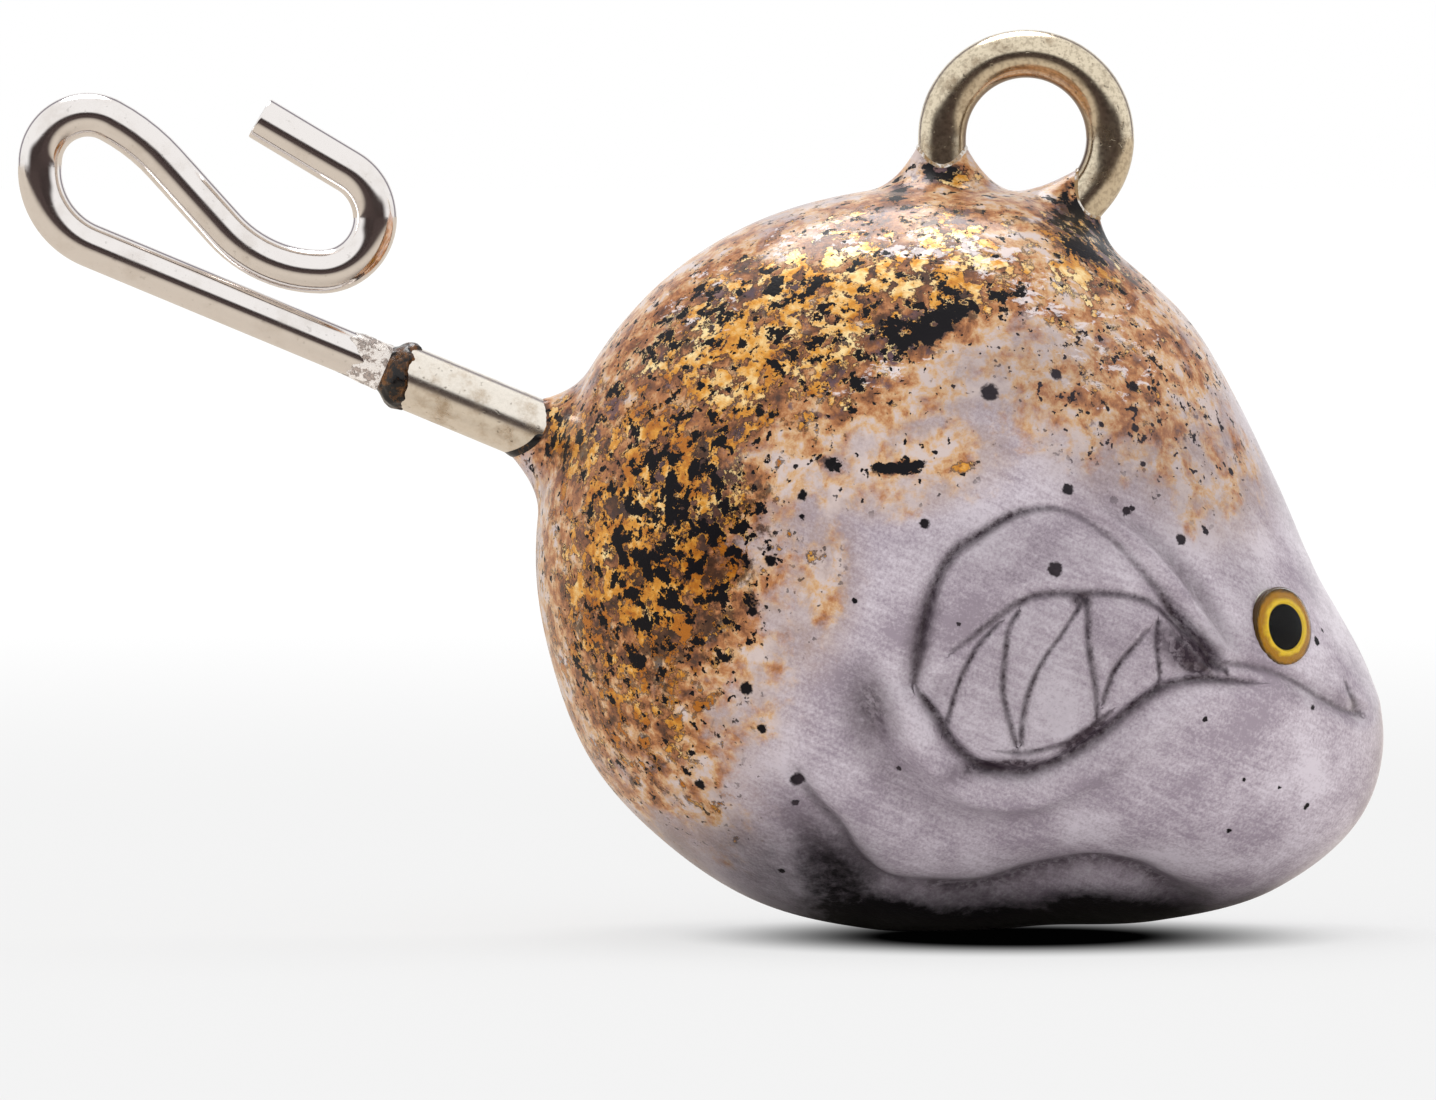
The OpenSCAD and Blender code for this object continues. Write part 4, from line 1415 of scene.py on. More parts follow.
        # Black paint and painted shade under the belly and chin.
        belly_black_and_shade = web.times(web.mask("belly_black_and_shade"), web.scaled(broken, 0.8, 0.6), clamp=True)
        paint = web.blend(belly_black_and_shade, paint, self.black)
        ragged = web.scaled(web.noise(8.0, 3.0, 0.6), 0.09, -0.045)
        ink: Feed = 0.0
        for i in range(INK_LAYERS):
            line = web.triple(f"line_{i}")
            away = web.reckon("ABSOLUTE", web.plus(line["X"], ragged))
            drawn = web.step(web.reckon("DIVIDE", away, line["Z"]), 2.1, 0.1)
            ink = web.most(ink, web.times(drawn, line["Y"]))
        patchy = web.scaled(web.noise(4.0, 6.0, 0.75), 2.0, -0.12)
        return web.blend(web.times(ink, patchy, clamp=True), paint, self.ink), belly_black_and_shade

    def _specks(self, web: Web, specks: Sequence[tuple[Vector, float]]) -> Socket:
        """Small ragged black dots, the same on both sides of the head.

        Args:
            web: The material's nodes.
            specks: Points and radii in metres.

        Returns:
            Their mask.
        """
        folded = web.vector("ABSOLUTE", web.at)
        split = web.parts(web.at)
        side = web.parts(folded)["Y"]
        place = web.lay("ShaderNodeCombineXYZ", {0: split["X"], 1: side, 2: split["Z"]}).outputs[0]
        ragged = web.scaled(web.noise(9.0, 2.0), 0.16, -0.08)
        best: Feed = 0.0
        for point, radius in specks:
            away = web.plus(web.length("DISTANCE", place, tuple(point / MM)), ragged)
            size = radius / MM
            best = web.most(best, web.step(away, size * 1.15, size * 0.75))
        return best


@dataclass(frozen=True)
class MetalFinish:
    """Polished or lacquered wire: a metal colour with drawing marks, stains and a clear coat."""

    name: str
    colour: Colour
    stain: Colour
    stain_amount: float
    rough: float
    coat: float = 0.0
    mark_height: float = 0.12
    grain: float = 0.0

    def material(self, effects: Effects) -> Skin:
        """Makes the finish.

        Args:
            effects: The shared node groups.

        Returns:
            The material.
        """
        skin, web = started(self.name)
        web.measure()
        grime = web.group(effects.grime, {"Vector": web.at, "Amount": self.stain_amount}).outputs
        marks = web.group(effects.drawn, {"Vector": web.at}).outputs["Streaks"]
        fine = web.noise(14.0, 3.0, 0.6)
        # Stains, and the darker band that some pieces carry as a mask on the mesh.
        patchy = web.most(grime["Mask"], web.mask("patchy"))
        paint = web.blend(patchy, self.colour, self.stain)
        paint = web.blend(web.times(grime["Pits"], 0.7), paint, darker(self.stain, 0.3))
        grain = web.times(web.step(web.noise(9.0, 3.0, 0.6), 0.46, 0.62), self.grain)
        paint = web.blend(grain, paint, darker(self.stain, 0.45))
        rough = web.scaled(grime["Mask"], 0.2, web.scaled(fine, 0.08, self.rough))
        height = web.plus(web.times(marks, 0.6), web.times(grime["Pits"], -0.5))
        bump = web.bump(self.mark_height, 0.02 * MM, height)
        web.surface({
            "Base Color": paint,
            "Metallic": 1.0,
            "Roughness": rough,
            "Normal": bump,
            "Coat Weight": self.coat,
            "Coat Roughness": 0.04,
        })
        return skin


@dataclass(frozen=True)
class LacquerFinish:
    """Thick glossy paint, glue or lacquer, mottled between two colours."""

    name: str
    colour: Colour
    mottle: Colour
    rough: float = 0.18
    scale: float = 3.0
    level: float = 0.52
    relief: float = 0.4
    level_rise_low: float = 0.0
    border: float = 1.0
    coat: float = 0.7

    def material(self, effects: Effects) -> Skin:
        """Makes the finish.

        Args:
            effects: The shared node groups.

        Returns:
            The material.
        """
        skin, web = started(self.name)
        web.measure()
        # More of the base colour shows where the mask low is high: towards the bottom of a lump and along
        # its top.
        level = web.scaled(web.mask("low"), self.level_rise_low, self.level)
        feeds = {"Vector": web.at, "Scale": self.scale, "Level": level, "Edge": 0.05, "Rim": 0.06}
        flakes = web.group(effects.flakes, feeds).outputs
        patches = flakes["Mask"]
        fine = web.noise(self.scale * 3.0, 3.0)
        paint = web.blend(patches, self.colour, self.mottle)
        paint = web.blend(web.times(flakes["Border"], 0.8), paint, darker(self.mottle, self.border))
        rough = web.scaled(fine, 0.15, self.rough)
        bump = web.bump(self.relief, 0.04 * MM, web.plus(patches, fine))
        web.surface({
            "Base Color": paint,
            "Roughness": rough,
            "Specular IOR Level": 0.25,
            "Normal": bump,
            "Coat Weight": self.coat,
            "Coat Roughness": 0.06,
        })
        return skin


@dataclass(frozen=True)
class EyeFinish:
    """The printed disc of an eye: amber at its rim, pale yellow round the pupil, under a hard gloss."""

    rim: Colour = srgb(66, 44, 6)
    amber: Colour = srgb(160, 110, 0)
    bright: Colour = srgb(216, 180, 30)

    def disc(self, place: Vector, axis: Vector, radius: float) -> Skin:
        """Makes the disc's finish, whose rings are centred on the eye.

        Args:
            place: Middle of the disc.
            axis: Where the eye looks.
            radius: Radius of the disc.

        Returns:
            The material.
        """
        skin, web = started("eye_disc")
        web.measure()
        from_middle = web.vector("SUBTRACT", web.at, tuple(place / MM))
        around = web.vector("CROSS_PRODUCT", from_middle, tuple(axis))
        away = web.length("LENGTH", around)
        share = web.reckon("DIVIDE", away, radius / MM)
        uneven = web.scaled(web.noise(3.5, 4.0, 0.7), 0.3, -0.15)
        colours = (self.bright, self.bright, self.amber, self.amber, self.rim)
        rings = web.ramp(web.plus(share, uneven), list(zip((0.52, 0.65, 0.74, 0.85, 0.95), colours)))
        fibres = web.noise(8.0, 4.0, 0.65)
        paint = web.blend(web.times(web.step(fibres, 0.55, 0.7), 0.22), rings, self.rim)
        bump = web.bump(0.4, 0.03 * MM, fibres)
        web.surface({
            "Base Color": paint,
            "Roughness": web.scaled(fibres, 0.2, 0.2),
            "Specular IOR Level": 0.2,
            "Normal": bump,
            "Coat Weight": 0.15,
            "Coat Roughness": 0.03,
        })
        return skin

    def pupil(self) -> Skin:
        """Makes the glossy black of the pupil, with faint blue clouds of painted reflection."""
        skin, web = started("eye_pupil")
        web.measure()
        # Painted reflection: faint blue clouds on the black.
        cloud = web.step(web.noise(2.0, 2.0), 0.5, 0.75)
        paint = web.blend(cloud, srgb(1, 1, 2), srgb(6, 7, 12))
        rough = web.scaled(cloud, 0.1, 0.2)
        web.surface({"Base Color": paint, "Roughness": rough, "Specular IOR Level": 0.0})
        return skin

    def cap(self) -> Skin:
        """Makes the clear resin of the eye, which lets lamps through to the disc under it."""
        skin, web = started("clear_resin")
        web.measure()
        ripple = web.noise(1.5, 2.0)
        bump = web.bump(0.08, 0.02 * MM, ripple)
        resin = web.lay(
            "ShaderNodeBsdfPrincipled",
            {
                "Base Color": (1.0, 0.99, 0.96, 1.0),
                "Roughness": 0.0,
                "IOR": 1.16,
                "Transmission Weight": 1.0,
                "Normal": bump,
            },
        )
        open_way = web.lay("ShaderNodeBsdfTransparent")
        rays = web.lay("ShaderNodeLightPath").outputs
        through = web.most(rays["Is Shadow Ray"], rays["Is Diffuse Ray"])
        mix = web.lay("ShaderNodeMixShader", {0: through, 1: resin.outputs[0], 2: open_way.outputs[0]})
        web.lay("ShaderNodeOutputMaterial", {"Surface": mix.outputs[0]})
        return skin


# Metal: the ring, the sleeve and the clip


@dataclass
class LineRing:
    """The closed wire ring in the head's top, whose feet are cast in the lead."""

    wire: float = 1.2 * MM
    hole: float = 3.0 * MM
    front_angle: float = -40.0
    rear_leg: float = 5.0 * MM
    front_leg: float = 2.2 * MM
    front_drop: float = 0.8 * MM
    foot_bend: float = 1.0 * MM
    foot: float = 0.8 * MM
    foot_turn: float = 80.0

    @property
    def mean(self) -> float:
        """Radius of the ring's middle line."""
        return (self.hole + self.wire) / 2

    @cached_property
    def hub(self) -> Vector:
        """The ring's centre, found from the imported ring: its top, and the rightmost reach of its round."""
        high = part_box("line_ring")[1]
        return Vector((high.x - self.mean - self.wire / 2, 0.0, high.z - self.mean - self.wire / 2))

    def rear_pen(self) -> Pen:
        """Where the rear leg starts downwards."""
        return Pen(self.hub.x - self.mean, self.hub.z, -90.0)

    def front_pen(self) -> Pen:
        """Where the front leg starts downwards."""
        angle = math.radians(self.front_angle)
        across, up = self.mean * math.cos(angle), self.mean * math.sin(angle)
        return Pen(self.hub.x + across, self.hub.z + up, self.front_angle - 90.0)

    def build(self) -> Piece:
        """Bends the ring in one length, from the rear foot over the top to the front foot."""
        ankle = self.rear_pen().ahead(self.rear_leg)
        rear_toe = ankle.turned(self.foot_bend, -self.foot_turn).ahead(self.foot)
        down_turn = -90.0 - self.front_pen().heading
        shaper = WireShaper(self.wire / 2, sides=48, bend_step=3.5)
        ring, _ = shaper.shape(
            "wire_ring",
            rear_toe.reversed(),
            [
                Straight(self.foot),
                Bend(self.foot_bend, self.foot_turn),
                Straight(self.rear_leg),
                Bend(self.mean, -(180.0 - self.front_angle)),
                Straight(self.front_leg),
                Bend(self.foot_bend, down_turn),
                Straight(self.front_drop),
                Bend(self.foot_bend, self.foot_turn),
                Straight(self.foot),
            ],
        )
        return ring


def collar(name: str, profile: Profile, root: Root, lead: np.ndarray) -> Piece:
    """Turns a ring of paint or lacquer round metal and lays it along the edge of the lead.

    Args:
        name: The piece's name.
        profile: Points of (how far off the metal, height above the lead's edge), in millimetres.
        root: Where the metal leaves the lead.
        lead: Points of the finished head.

    Returns:
        The piece.
    """
    piece = spun(name, beyond(root.metal, profile), root.place, root.way)
    points = read_points(piece)
    _, outwards, _ = round_axis(points, root.place, root.way)
    edge = root.rim(lead, root.angle(outwards))
    write_points(piece, points + np.array(root.way.normalized()) * edge[:, None])
    mark_low(piece, root.place, root.way)
    return piece


def mark_low(piece: Piece, place: Vector, way: Vector) -> None:
    """Paints a mask that is high under an axis, low above it and high again along the top.

    Args:
        piece: The piece.
        place: A point of the axis.
        way: The axis.
    """
    upward = Vector((0, 0, 1)) - way * way.z / way.length_squared
    height = (read_points(piece) - np.array(place)) @ np.array(upward)
    share = height / np.abs(height).max()
    crest = np.clip((share - 0.9) / 0.06, 0.0, 1.0)
    paint(piece, "low", np.clip(0.5 - share / 1.2, 0.0, 1.0) + 0.9 * crest)


def sink_to(piece: Piece, level: float, bare: np.ndarray, outwards: np.ndarray, away: np.ndarray) -> None:
    """Sinks a turned lump's skin to a level where it is to be bare.

    Args:
        piece: The lump.
        level: A radius.
        bare: How bare each point is, from 0 to 1.
        outwards: The direction away from the axis at each point.
        away: How far each point is from the axis.
    """
    sunk = bare * np.clip(away - level, 0.0, None)
    write_points(piece, read_points(piece) - outwards * sunk[:, None])


@dataclass
class SpringClip:
    """The sleeve in the head's back and the sprung wire that is glued in it."""

    heading: float = 157.4
    wire: float = 1.1 * MM
    sleeve_outer: float = 1.6 * MM
    sleeve_bore: float = 1.3 * MM
    sleeve_soft: float = 0.04 * MM
    low_radius: float = 2.05 * MM
    high_radius: float = 1.2 * MM
    bend_flat: float = 0.175 * MM
    down_radius: float = 5.0 * MM
    middle: float = 2.2 * MM
    level_radius: float = 3.25 * MM
    curl_radius: float = 1.35 * MM
    tip: float = 2.6 * MM
    low_turn: float = -67.4
    high_turn: float = -118.0
    down_turn: float = -20.0
    level_turn: float = 48.0
    curl_turn: float = 149.0
    cut_round: float = 0.05 * MM

    def along_box(self, node: str, radius: float) -> tuple[Pen, Pen]:
        """The ends of a packed round bar that lies along the clip's heading.

        Args:
            node: The bar's node.
            radius: Its radius.

        Returns:
            The pen at its end in the head and the pen at its outer end.
        """
        low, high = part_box(node)
        angle = math.radians(self.heading)
        in_x, in_z = radius * abs(math.sin(angle)), radius * abs(math.cos(angle))
        inner = Pen(high.x - in_x, low.z + in_z, self.heading)
        outer = Pen(low.x + in_x, high.z - in_z, self.heading)
        return inner, outer

    def shank_ends(self) -> tuple[Pen, Pen]:
        """The ends of the shank, in the sleeve and at the bend."""
        return self.along_box("clip_shank", self.wire / 2)

    def sleeve_ends(self) -> tuple[Pen, Pen]:
        """The ends of the sleeve, in the lead and at its mouth."""
        return self.along_box("clip_sleeve", self.sleeve_outer / 2)

    def build_shank(self) -> Piece:
        """Draws the straight shank."""
        inner, outer = self.shank_ends()
        shaper = WireShaper(self.wire / 2)
        return shaper.shape("clip_shank_wire", inner, [Straight((outer.place - inner.place).length)])[0]

    def build_bend(self) -> tuple[Piece, Pen, Pen]:
        """Bends the far loop.

        Returns:
            The piece, the pen at its start and the pen at its end.
        """
        start = self.shank_ends()[1]
        moves = [
            Bend(self.low_radius, self.low_turn),
            Straight(self.bend_flat),
            Bend(self.high_radius, self.high_turn),
        ]
        piece, end = WireShaper(self.wire / 2).shape("clip_bend_wire", start, moves)
        return piece, start, end

    def build_arm(self, start: Pen) -> Piece:
        """Bends the arm on from the far loop, with its curl and its cut end."""
        moves = [
            Bend(self.down_radius, self.down_turn),
            Straight(self.middle),
            Bend(self.level_radius, self.level_turn),
            Bend(self.curl_radius, self.curl_turn),
            Straight(self.tip),
        ]
        return WireShaper(self.wire / 2, end_round=self.cut_round).shape("clip_arm_wire", start, moves)[0]

    def build_sleeve(self) -> Piece:
        """Turns the sleeve, a tube with softened ends."""
        inner, outer = self.sleeve_ends()
        length = (outer.place - inner.place).length
        r, bore, soft = self.sleeve_outer / 2, self.sleeve_bore / 2, self.sleeve_soft
        low_end = [(bore, 0.0), (r - soft, 0.0), (r, soft)]
        section = [*low_end, (r, length - soft), (r - soft, length), (bore, length)]
        return spun("sleeve_tube", section, inner.place, inner.way)

    def build_mouth_paint(self) -> Piece:
        """Turns the lump of paint that closes the sleeve's mouth on the wire."""
        mouth = self.sleeve_ends()[1]
        on_sleeve, on_wire = self.sleeve_outer / 2, self.wire / 2
        over_sleeve = (
            (0.005, -0.42), (0.025, -0.36), (0.05, -0.26), (0.07, -0.14), (0.06, -0.06), (0.01, 0.08),
            (-0.08, 0.19),
        )
        over_wire = ((0.09, 0.28), (0.03, 0.36), (0.005, 0.42), (0.005, 0.01))
        section = beyond(on_sleeve, over_sleeve)
        section += beyond(on_wire, over_wire) + beyond(on_sleeve, ((0.005, 0.01),))
        lump = spun("sleeve_mouth_paint", section, mouth.place, mouth.way)
        self._roughened(lump, 0.022 * MM, mouth.place, mouth.way, on_wire + 0.02 * MM)
        mark_low(lump, mouth.place, mouth.way)
        points = read_points(lump)
        along, outwards, away = round_axis(points, mouth.place, mouth.way)
        upward = outwards[:, 2] / np.abs(outwards[:, 2]).max()
        low, crest = np.clip(0.45 - 0.6 * upward, 0.0, 1.0), np.clip((upward - 0.9) / 0.06, 0.0, 1.0)
        cover = 0.09 + 0.3 * low + 0.12 * crest
        cover += 0.05 * np.sin(9.0 * outwards[:, 1] + 4.0 * upward) + 0.03 * np.sin(23.0 * outwards[:, 1])
        bare = np.clip((-along / MM - cover) / 0.05, 0.0, 1.0) * (away > on_wire + 0.1 * MM)
        sink_to(lump, on_sleeve - 0.03 * MM, bare, outwards, away)
        return lump

    def build_glue(self) -> Piece:
        """Turns the thin smear of glue that has crept out along the wire."""
        mouth = self.sleeve_ends()[1]
        profile = ((0.002, 0.3), (0.05, 0.42), (0.035, 0.75), (0.02, 1.05), (0.002, 1.25))
        smear = spun("glue_smear", beyond(self.wire / 2, profile), mouth.place, mouth.way, steps=96)
        self._roughened(smear, 0.02 * MM, mouth.place, mouth.way, self.wire / 2 + 0.004 * MM)
        points = read_points(smear)
        along, outwards, _ = round_axis(points, mouth.place, mouth.way)
        turn = np.arctan2(outwards[:, 1], outwards @ np.array((-mouth.way.z, 0.0, mouth.way.x)))
        share = np.clip((along - 0.42 * MM) / (0.8 * MM), 0.0, 1.0)
        ragged = 0.2 * np.sin(turn * 2.0 + 1.0) + 0.1 * np.sin(turn * 5.0)
        ragged += 0.05 * np.sin(turn * 11.0 + 2.0)
        write_points(smear, points + np.array(mouth.way) * (ragged * share * MM)[:, None])
        return smear

    def _roughened(self, lump: Piece, height: float, place: Vector, way: Vector, core: float) -> None:
        """Gives a turned lump an uneven skin outside its core.

        Args:
            lump: The turned piece.
            height: How far its skin moves in or out.
            place: A point of its axis.
            way: The axis.
            core: Radius inside which nothing moves.
        """
        with editing(lump):
            bpy.ops.mesh.select_all(action="SELECT")
            bpy.ops.mesh.subdivide(number_cuts=1)
        points = read_points(lump)
        _, outwards, away = round_axis(points, place, way)
        q = points / MM
        wave = (
            np.sin(q[:, 0] * 7.1 + q[:, 1] * 5.3) * np.sin(q[:, 2] * 6.7 - q[:, 1] * 8.9)
            + 0.5 * np.sin(q[:, 0] * 17.0 + q[:, 2] * 13.0) * np.sin(q[:, 1] * 15.0 + 1.3)
        )
        moved = np.where(away > core, wave * height, 0.0)
        write_points(lump, points + outwards * moved[:, None])
        take(lump)
        bpy.ops.object.shade_smooth_by_angle(angle=math.radians(50.0))
        let_go()


@dataclass
class FishEye:
    """A stick-on eye: a domed disc with a raised ring, a pupil and a clear cap."""

    side: Side
    finish: EyeFinish
    diameter: float = 2.0 * MM
    thickness: float = 0.2 * MM
    pupil: float = 1.1 * MM
    dome: float = 0.42 * MM
    dome_flat: float = 0.85
    dome_steps: int = 16

    @property
    def name(self) -> str:
        """The side's name, as in the nodes."""
        return self.side.name.lower()

    @property
    def axis(self) -> Vector:
        """Where the eye looks: square to its packed disc."""
        nodes = bpy.data.objects[f"{self.name}_eye_iris"]
        across = max(nodes.data.polygons, key=lambda face: face.area)
        normal = across.normal.copy()
        return normal if normal.x > 0 else -normal

    @property
    def middle(self) -> Vector:
        """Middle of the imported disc."""
        low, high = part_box(f"{self.name}_eye_iris")
        return (low + high) / 2

    @property
    def face(self) -> Vector:
        """Middle of the disc's front."""
        return self.middle + self.axis * (self.thickness / 2)

    def build_disc(self) -> Piece:
        """Turns the disc, with a rolled rim and a raised inner ring."""
        r, p, back = self.diameter / 2, self.pupil / 2, -self.thickness
        section = [
            (0.0, back), (r - 0.05 * MM, back), (r, back + 0.04 * MM),
            *beyond(r, ((0.01, -0.04), (-0.03, 0.01), (-0.09, 0.0), (-0.14, -0.02))),
            *beyond(p, ((0.2, -0.015), (0.12, 0.035), (0.05, 0.04), (0.01, 0.0), (-0.02, -0.03))),
            (0.0, -0.035 * MM),
        ]
        return spun(f"{self.name}_eye_disc", section, self.face, self.axis)

    def build_pupil(self) -> Piece:
        """Turns the pupil, a low black button."""
        p = self.pupil / 2
        rim = beyond(p, ((-0.02, -0.03), (0.0, -0.005), (-0.05, 0.02)))
        section = [(0.0, -0.03 * MM), *rim, (p * 0.6, 0.035 * MM), (0.0, 0.04 * MM)]
        return spun(f"{self.name}_eye_black", section, self.face, self.axis)

    def build_cap(self) -> Piece:
        """Turns the clear cap, a slice of a ball with a softened edge."""
        r, h = self.diameter / 2 - 0.02 * MM, self.dome * self.dome_flat
        ball = (r * r + h * h) / (2 * h)
        edge = math.asin(r / ball)
        turns = [edge * i / self.dome_steps for i in range(self.dome_steps + 1)]
        arc = [(ball * math.sin(turn), h - ball + ball * math.cos(turn)) for turn in turns]
        section = [(0.0, 0.045 * MM), *arc, (r - 0.02 * MM, 0.02 * MM), (r * 0.7, 0.045 * MM)]
        return spun(f"{self.name}_eye_cap", section, self.face, self.axis)


# Studio: a white floor, an even sky and one broad lamp


@dataclass(frozen=True)
class Studio:
    """A pale table under soft light from above, with a painted shadow under the sinker and the dim room
    behind the lens in its reflections.
    """

    floor_size: float = 3.0
    floor_seen: float = 0.6
    floor_far: float = 1.16
    white_from: float = 55.0 * MM
    white_at: float = 260.0 * MM
    floor_glow: float = 0.75
    floor_white: float = 0.91
    floor_bounce: float = 0.85
    # Painted shadow: a soft dark oval on the table round where the belly rests.
    shadow_at: tuple[float, float, float] = (7.7 * MM, -3.0 * MM, 0.0)
    shadow_reach: tuple[float, float] = (8.8 * MM, 9.0 * MM)
    shadow_inner: float = 0.36
    shadow_from_above: float = 0.65
    shadow_steep: tuple[float, float] = (0.05, 0.5)
    floor_mirrored: Colour = (0.5, 0.45, 0.39)
    table_front: float = -60.0 * MM
    table_fade: float = 35.0 * MM
    sky_front: float = 1.02
    sky_back: float = 0.85
    lamp: float = 1.9
    lamp_width: float = math.radians(36.0)
    lamp_way: tuple[float, float, float] = (-0.08, 0.46, 0.88)
    room: Colour = (0.05, 0.036, 0.034)
    room_high: float = math.radians(13.0)
    room_wide: float = math.radians(58.0)
    flag: Colour = (0.3, 0.28, 0.32)
    flag_inner: float = math.radians(126.0)
    flag_outer: float = math.radians(146.0)
    blur: float = math.radians(8.0)

    def build(self) -> None:
        """Adds the table, the sky and the lamp."""
        self._floor()
        self._sky()
        data = bpy.data.lights.new("broad_lamp", "SUN")
        data.energy = self.lamp
        data.angle = self.lamp_width
        lamp = bpy.data.objects.new("broad_lamp", data)
        lamp.rotation_euler = Vector(self.lamp_way).to_track_quat("Z", "Y").to_euler()
        bpy.context.scene.collection.objects.link(lamp)
        bpy.context.scene.view_settings.view_transform = "Standard"

    def _floor(self) -> None:
        """Adds the table, white to the camera, with a painted shadow oval under the sinker that is lighter
        seen from above, darker past its front edge in reflections.
        """
        let_go()
        bpy.ops.mesh.primitive_plane_add(size=self.floor_size, location=(0, 0, -0.002 * MM))
        floor = bpy.context.active_object
        floor.name = "studio_floor"
        skin, web = started("studio_floor")
        rays = web.lay("ShaderNodeLightPath").outputs
        spot = web.lay("ShaderNodeTexCoord").outputs["Object"]
        depth = web.parts(spot)["Y"]
        from_middle = web.length("LENGTH", spot)
        far = web.step(from_middle, self.white_from, self.white_at)
        fade = web.scaled(far, self.floor_far - 1.0, 1.0)
        level = web.times(fade, self.floor_seen)
        # Painted shadow: the table darkens inside an oval round the belly's contact.
        aside = web.vector("SUBTRACT", spot, self.shadow_at)
        reach = (1.0 / self.shadow_reach[0], 1.0 / self.shadow_reach[1], 0.0)
        aside = web.vector("MULTIPLY", aside, reach)
        aside = web.length("LENGTH", aside)
        outside_painted_shadow = web.step(aside, self.shadow_inner, 1.0)
        to_lens = web.lay("ShaderNodeNewGeometry").outputs["Incoming"]
        steep = web.step(web.parts(to_lens)["Z"], *self.shadow_steep)
        outside_painted_shadow = web.most(outside_painted_shadow, web.times(steep, self.shadow_from_above))
        level = web.times(web.times(level, outside_painted_shadow), 1.0 - self.floor_glow)
        looked_at = web.lay("ShaderNodeCombineColor", {0: level, 1: level, 2: level}).outputs[0]
        near = web.step(depth, self.table_front - self.table_fade, self.table_front + self.table_fade)
        shown = web.blend(near, self.room, self.floor_mirrored)
        colour = web.blend(rays["Is Camera Ray"], (self.floor_bounce,) * 3, looked_at)
        mirrored = web.most(rays["Is Glossy Ray"], rays["Is Transmission Ray"])
        colour = web.blend(mirrored, colour, shown)
        plain = web.lay("ShaderNodeBsdfDiffuse", {"Color": colour})
        glow = web.times(web.times(outside_painted_shadow, rays["Is Camera Ray"]), self.floor_glow * self.floor_white)
        glow = web.times(glow, fade)
        lit = web.lay("ShaderNodeEmission", {"Color": opaque(WHITE), "Strength": glow})
        both = web.lay("ShaderNodeAddShader", {0: plain.outputs[0], 1: lit.outputs[0]})
        web.lay("ShaderNodeOutputMaterial", {"Surface": both.outputs[0]})
        floor.data.materials.append(skin)

    def _sky(self) -> None:
        """Sets the sky: even light, white to the camera, with a dim room and dark flags in reflections."""
        world = bpy.context.scene.world or bpy.data.worlds.new("studio")
        bpy.context.scene.world = world
        world.use_nodes = True
        web = Web(world.node_tree)
        rays = web.lay("ShaderNodeLightPath").outputs
        way = web.lay("ShaderNodeTexCoord").outputs["Generated"]
        split = web.parts(way)
        height = web.reckon("ARCSINE", split["Z"])
        forward = web.times(split["Y"], -1.0)
        turn = web.reckon("ABSOLUTE", web.reckon("ARCTAN2", split["X"], forward))
        low = web.step(height, self.room_high + self.blur / 2, self.room_high - self.blur / 2)
        middle = web.step(turn, self.room_wide + 2.0 * self.blur, self.room_wide - 2.0 * self.blur)
        seen = web.blend(web.times(low, middle), WHITE, self.room)
        from_front = web.reckon("ARCCOSINE", forward)
        past = web.step(from_front, self.flag_inner - self.blur / 2, self.flag_inner + self.blur / 2)
        short = web.step(from_front, self.flag_outer + self.blur / 2, self.flag_outer - self.blur / 2)
        seen = web.blend(web.times(past, short), seen, self.flag)
        seen = web.blend(rays["Is Camera Ray"], seen, WHITE)
        side = web.scaled(forward, 0.5, 0.5)
        strength = web.scaled(side, self.sky_front - self.sky_back, self.sky_back)
        even = web.lay("ShaderNodeBackground", {"Color": opaque(WHITE), "Strength": strength})
        white = web.lay("ShaderNodeBackground", {"Color": seen, "Strength": 1.0})
        looked_at = web.most(rays["Is Camera Ray"], rays["Is Glossy Ray"])
        looked_at = web.most(looked_at, rays["Is Transmission Ray"])
        mix = web.lay("ShaderNodeMixShader", {0: looked_at, 1: even.outputs[0], 2: white.outputs[0]})
        web.lay("ShaderNodeOutputWorld", {"Surface": mix.outputs[0]})


